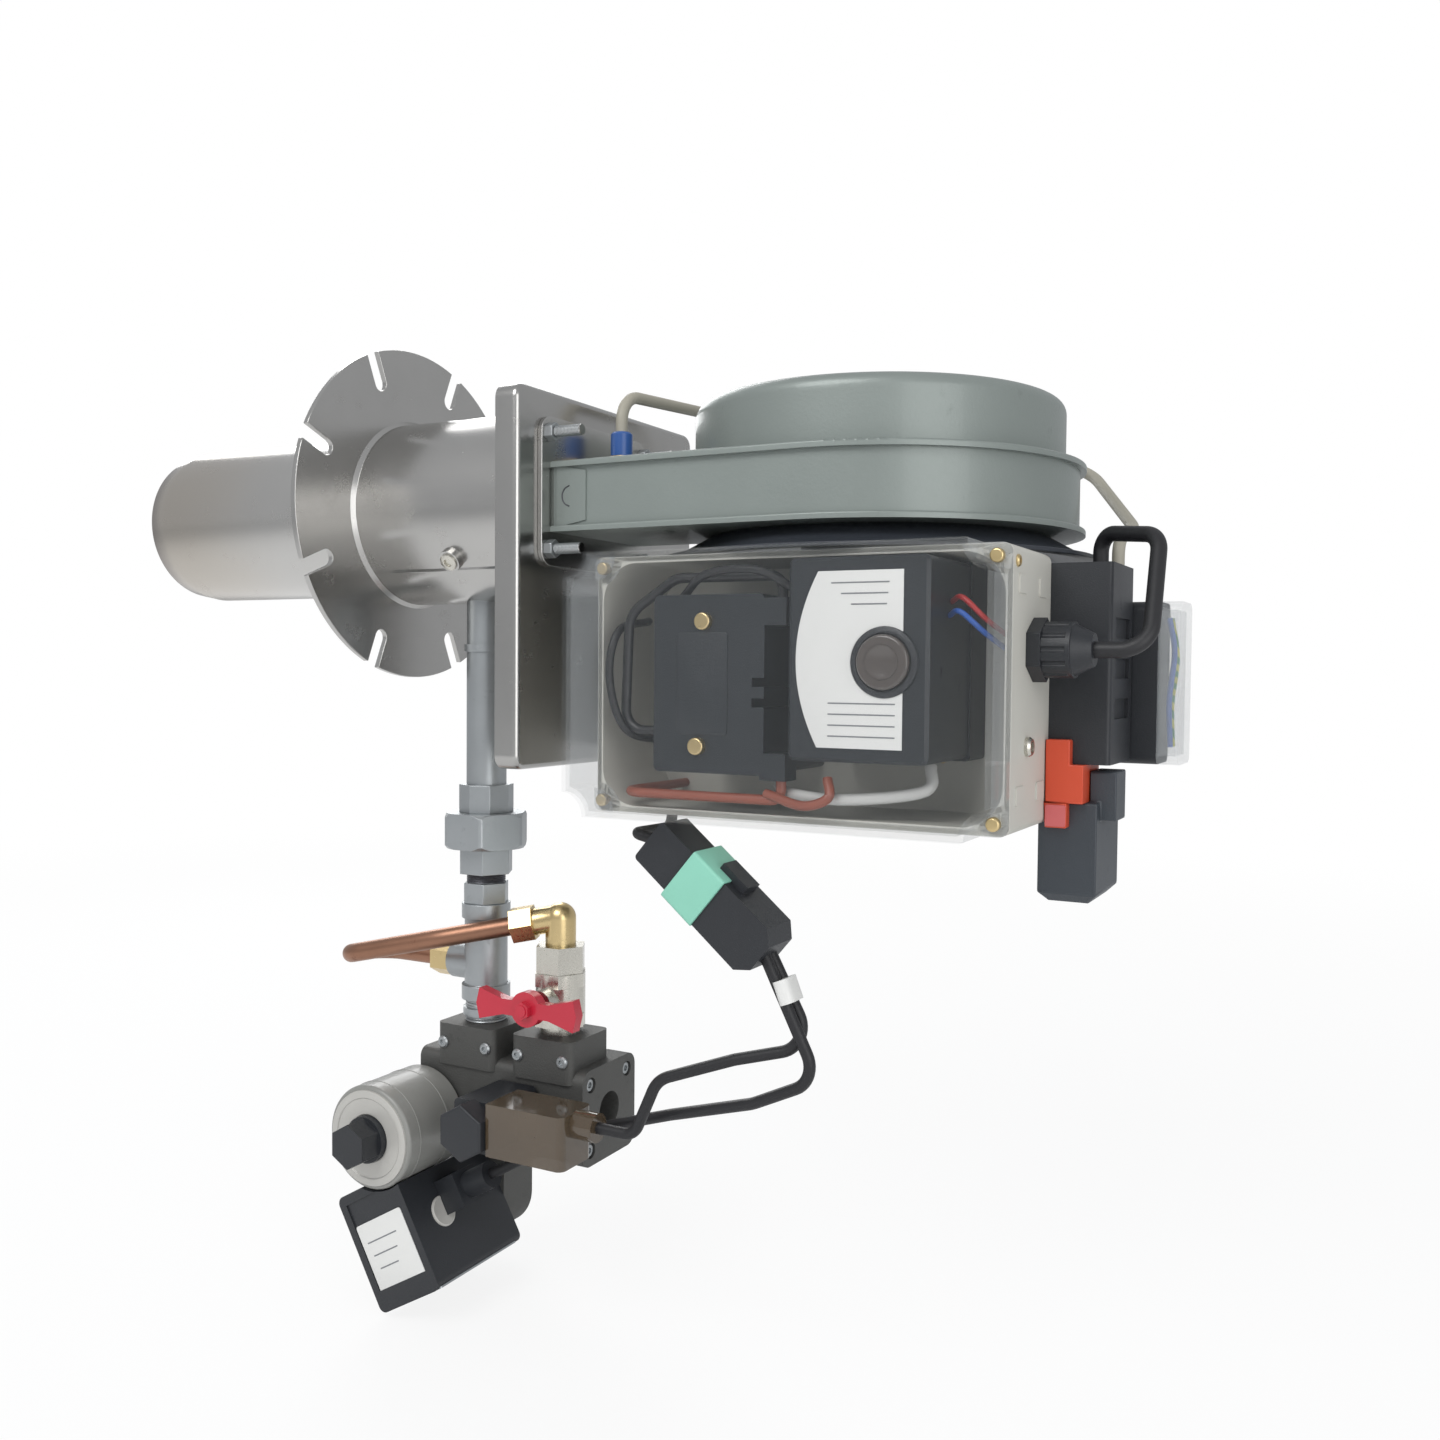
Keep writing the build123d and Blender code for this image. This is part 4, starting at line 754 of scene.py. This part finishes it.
# %% Stage
def pale(name):
    """Diffuse white that the camera sees as almost pure white, and wholly white further off."""
    f = Finish(name)
    f.set(Base_Color=(0.86, 0.86, 0.86, 1), Roughness=0.9)
    away = f.node("ShaderNodeVectorMath", {"operation": "LENGTH"}, {0: f.place}, "Value")
    seen = f.node("ShaderNodeLightPath", output="Is Camera Ray")
    white = f.node("ShaderNodeEmission")
    share = seen * (f.steps(away, 0.4, 2.2) * 0.14 + 0.86)
    mixed = f.node("ShaderNodeMixShader", None, {0: share, 2: white})
    f.tree.links.new(f.shader.outputs[0], mixed.socket.node.inputs[1])
    f.tree.links.new(mixed.socket, f.tree.nodes["Material Output"].inputs[0])
    return f


keep("pale_floor", pale("pale_floor"))
floor_z = cad_box[0][2] - 0.003
tiles = np.linspace(-40, 40, 41)
floor_x, floor_y = np.meshgrid(tiles, tiles, indexing="ij")
floor_points = np.stack([floor_x, floor_y, np.full_like(floor_x, floor_z)], -1)
floor = skin("floor", floor_points, "pale_floor", round_v=False, caps=False, body=None)

world = bpy.data.worlds.new("studio")
bpy.context.scene.world = world
world.use_nodes = True
sky = world.node_tree
room = sky.nodes["Background"]
room.inputs[0].default_value = (0.95, 0.97, 1.0, 1)
room.inputs[1].default_value = 0.55
backdrop = sky.nodes.new("ShaderNodeBackground")
backdrop.inputs[0].default_value = (1, 1, 1, 1)
mixer = sky.nodes.new("ShaderNodeMixShader")
path = sky.nodes.new("ShaderNodeLightPath")
sky.links.new(path.outputs["Is Camera Ray"], mixer.inputs[0])
sky.links.new(room.outputs[0], mixer.inputs[1])
sky.links.new(backdrop.outputs[0], mixer.inputs[2])
sky.links.new(mixer.outputs[0], sky.nodes["World Output"].inputs[0])


def lamp(name, at, target, size, power):
    light = bpy.data.lights.new(name, "AREA")
    light.shape = "RECTANGLE"
    light.size, light.size_y = size
    light.energy = power
    piece = bpy.data.objects.new(name, light)
    bpy.context.scene.collection.objects.link(piece)
    piece.location = at
    way = np.subtract(target, at)
    from_z = -way / np.linalg.norm(way)
    side_a, side_b = frame_of(from_z)
    piece.matrix_world = Matrix.Translation(at) @ Matrix(
        [[side_a[i], side_b[i], from_z[i]] for i in range(3)]).to_4x4()
    return piece


middle = (0.12, 0.0, -0.15)
lamp("key", (0.0, -1.4, 1.1), middle, (1.2, 0.9), 17)
lamp("fill", (1.5, -0.9, 0.1), middle, (1.0, 1.2), 8)
lamp("rim", (-0.9, 0.9, 0.7), middle, (0.8, 1.0), 10)

camera_data = bpy.data.cameras.new("camera")
camera_data.sensor_width = 36.0
camera_data.lens = 33.0
camera = bpy.data.objects.new("camera", camera_data)
bpy.context.scene.collection.objects.link(camera)
camera.location = (0.4986, -0.5673, -0.0842)
camera.rotation_euler = Euler((radians(87.88), radians(-0.50), radians(28.20)), "XYZ")
bpy.context.scene.camera = camera
bpy.context.scene.view_settings.view_transform = "Standard"

# %% Finish
print("cad", [round(v, 4) for c in cad_box for v in c])
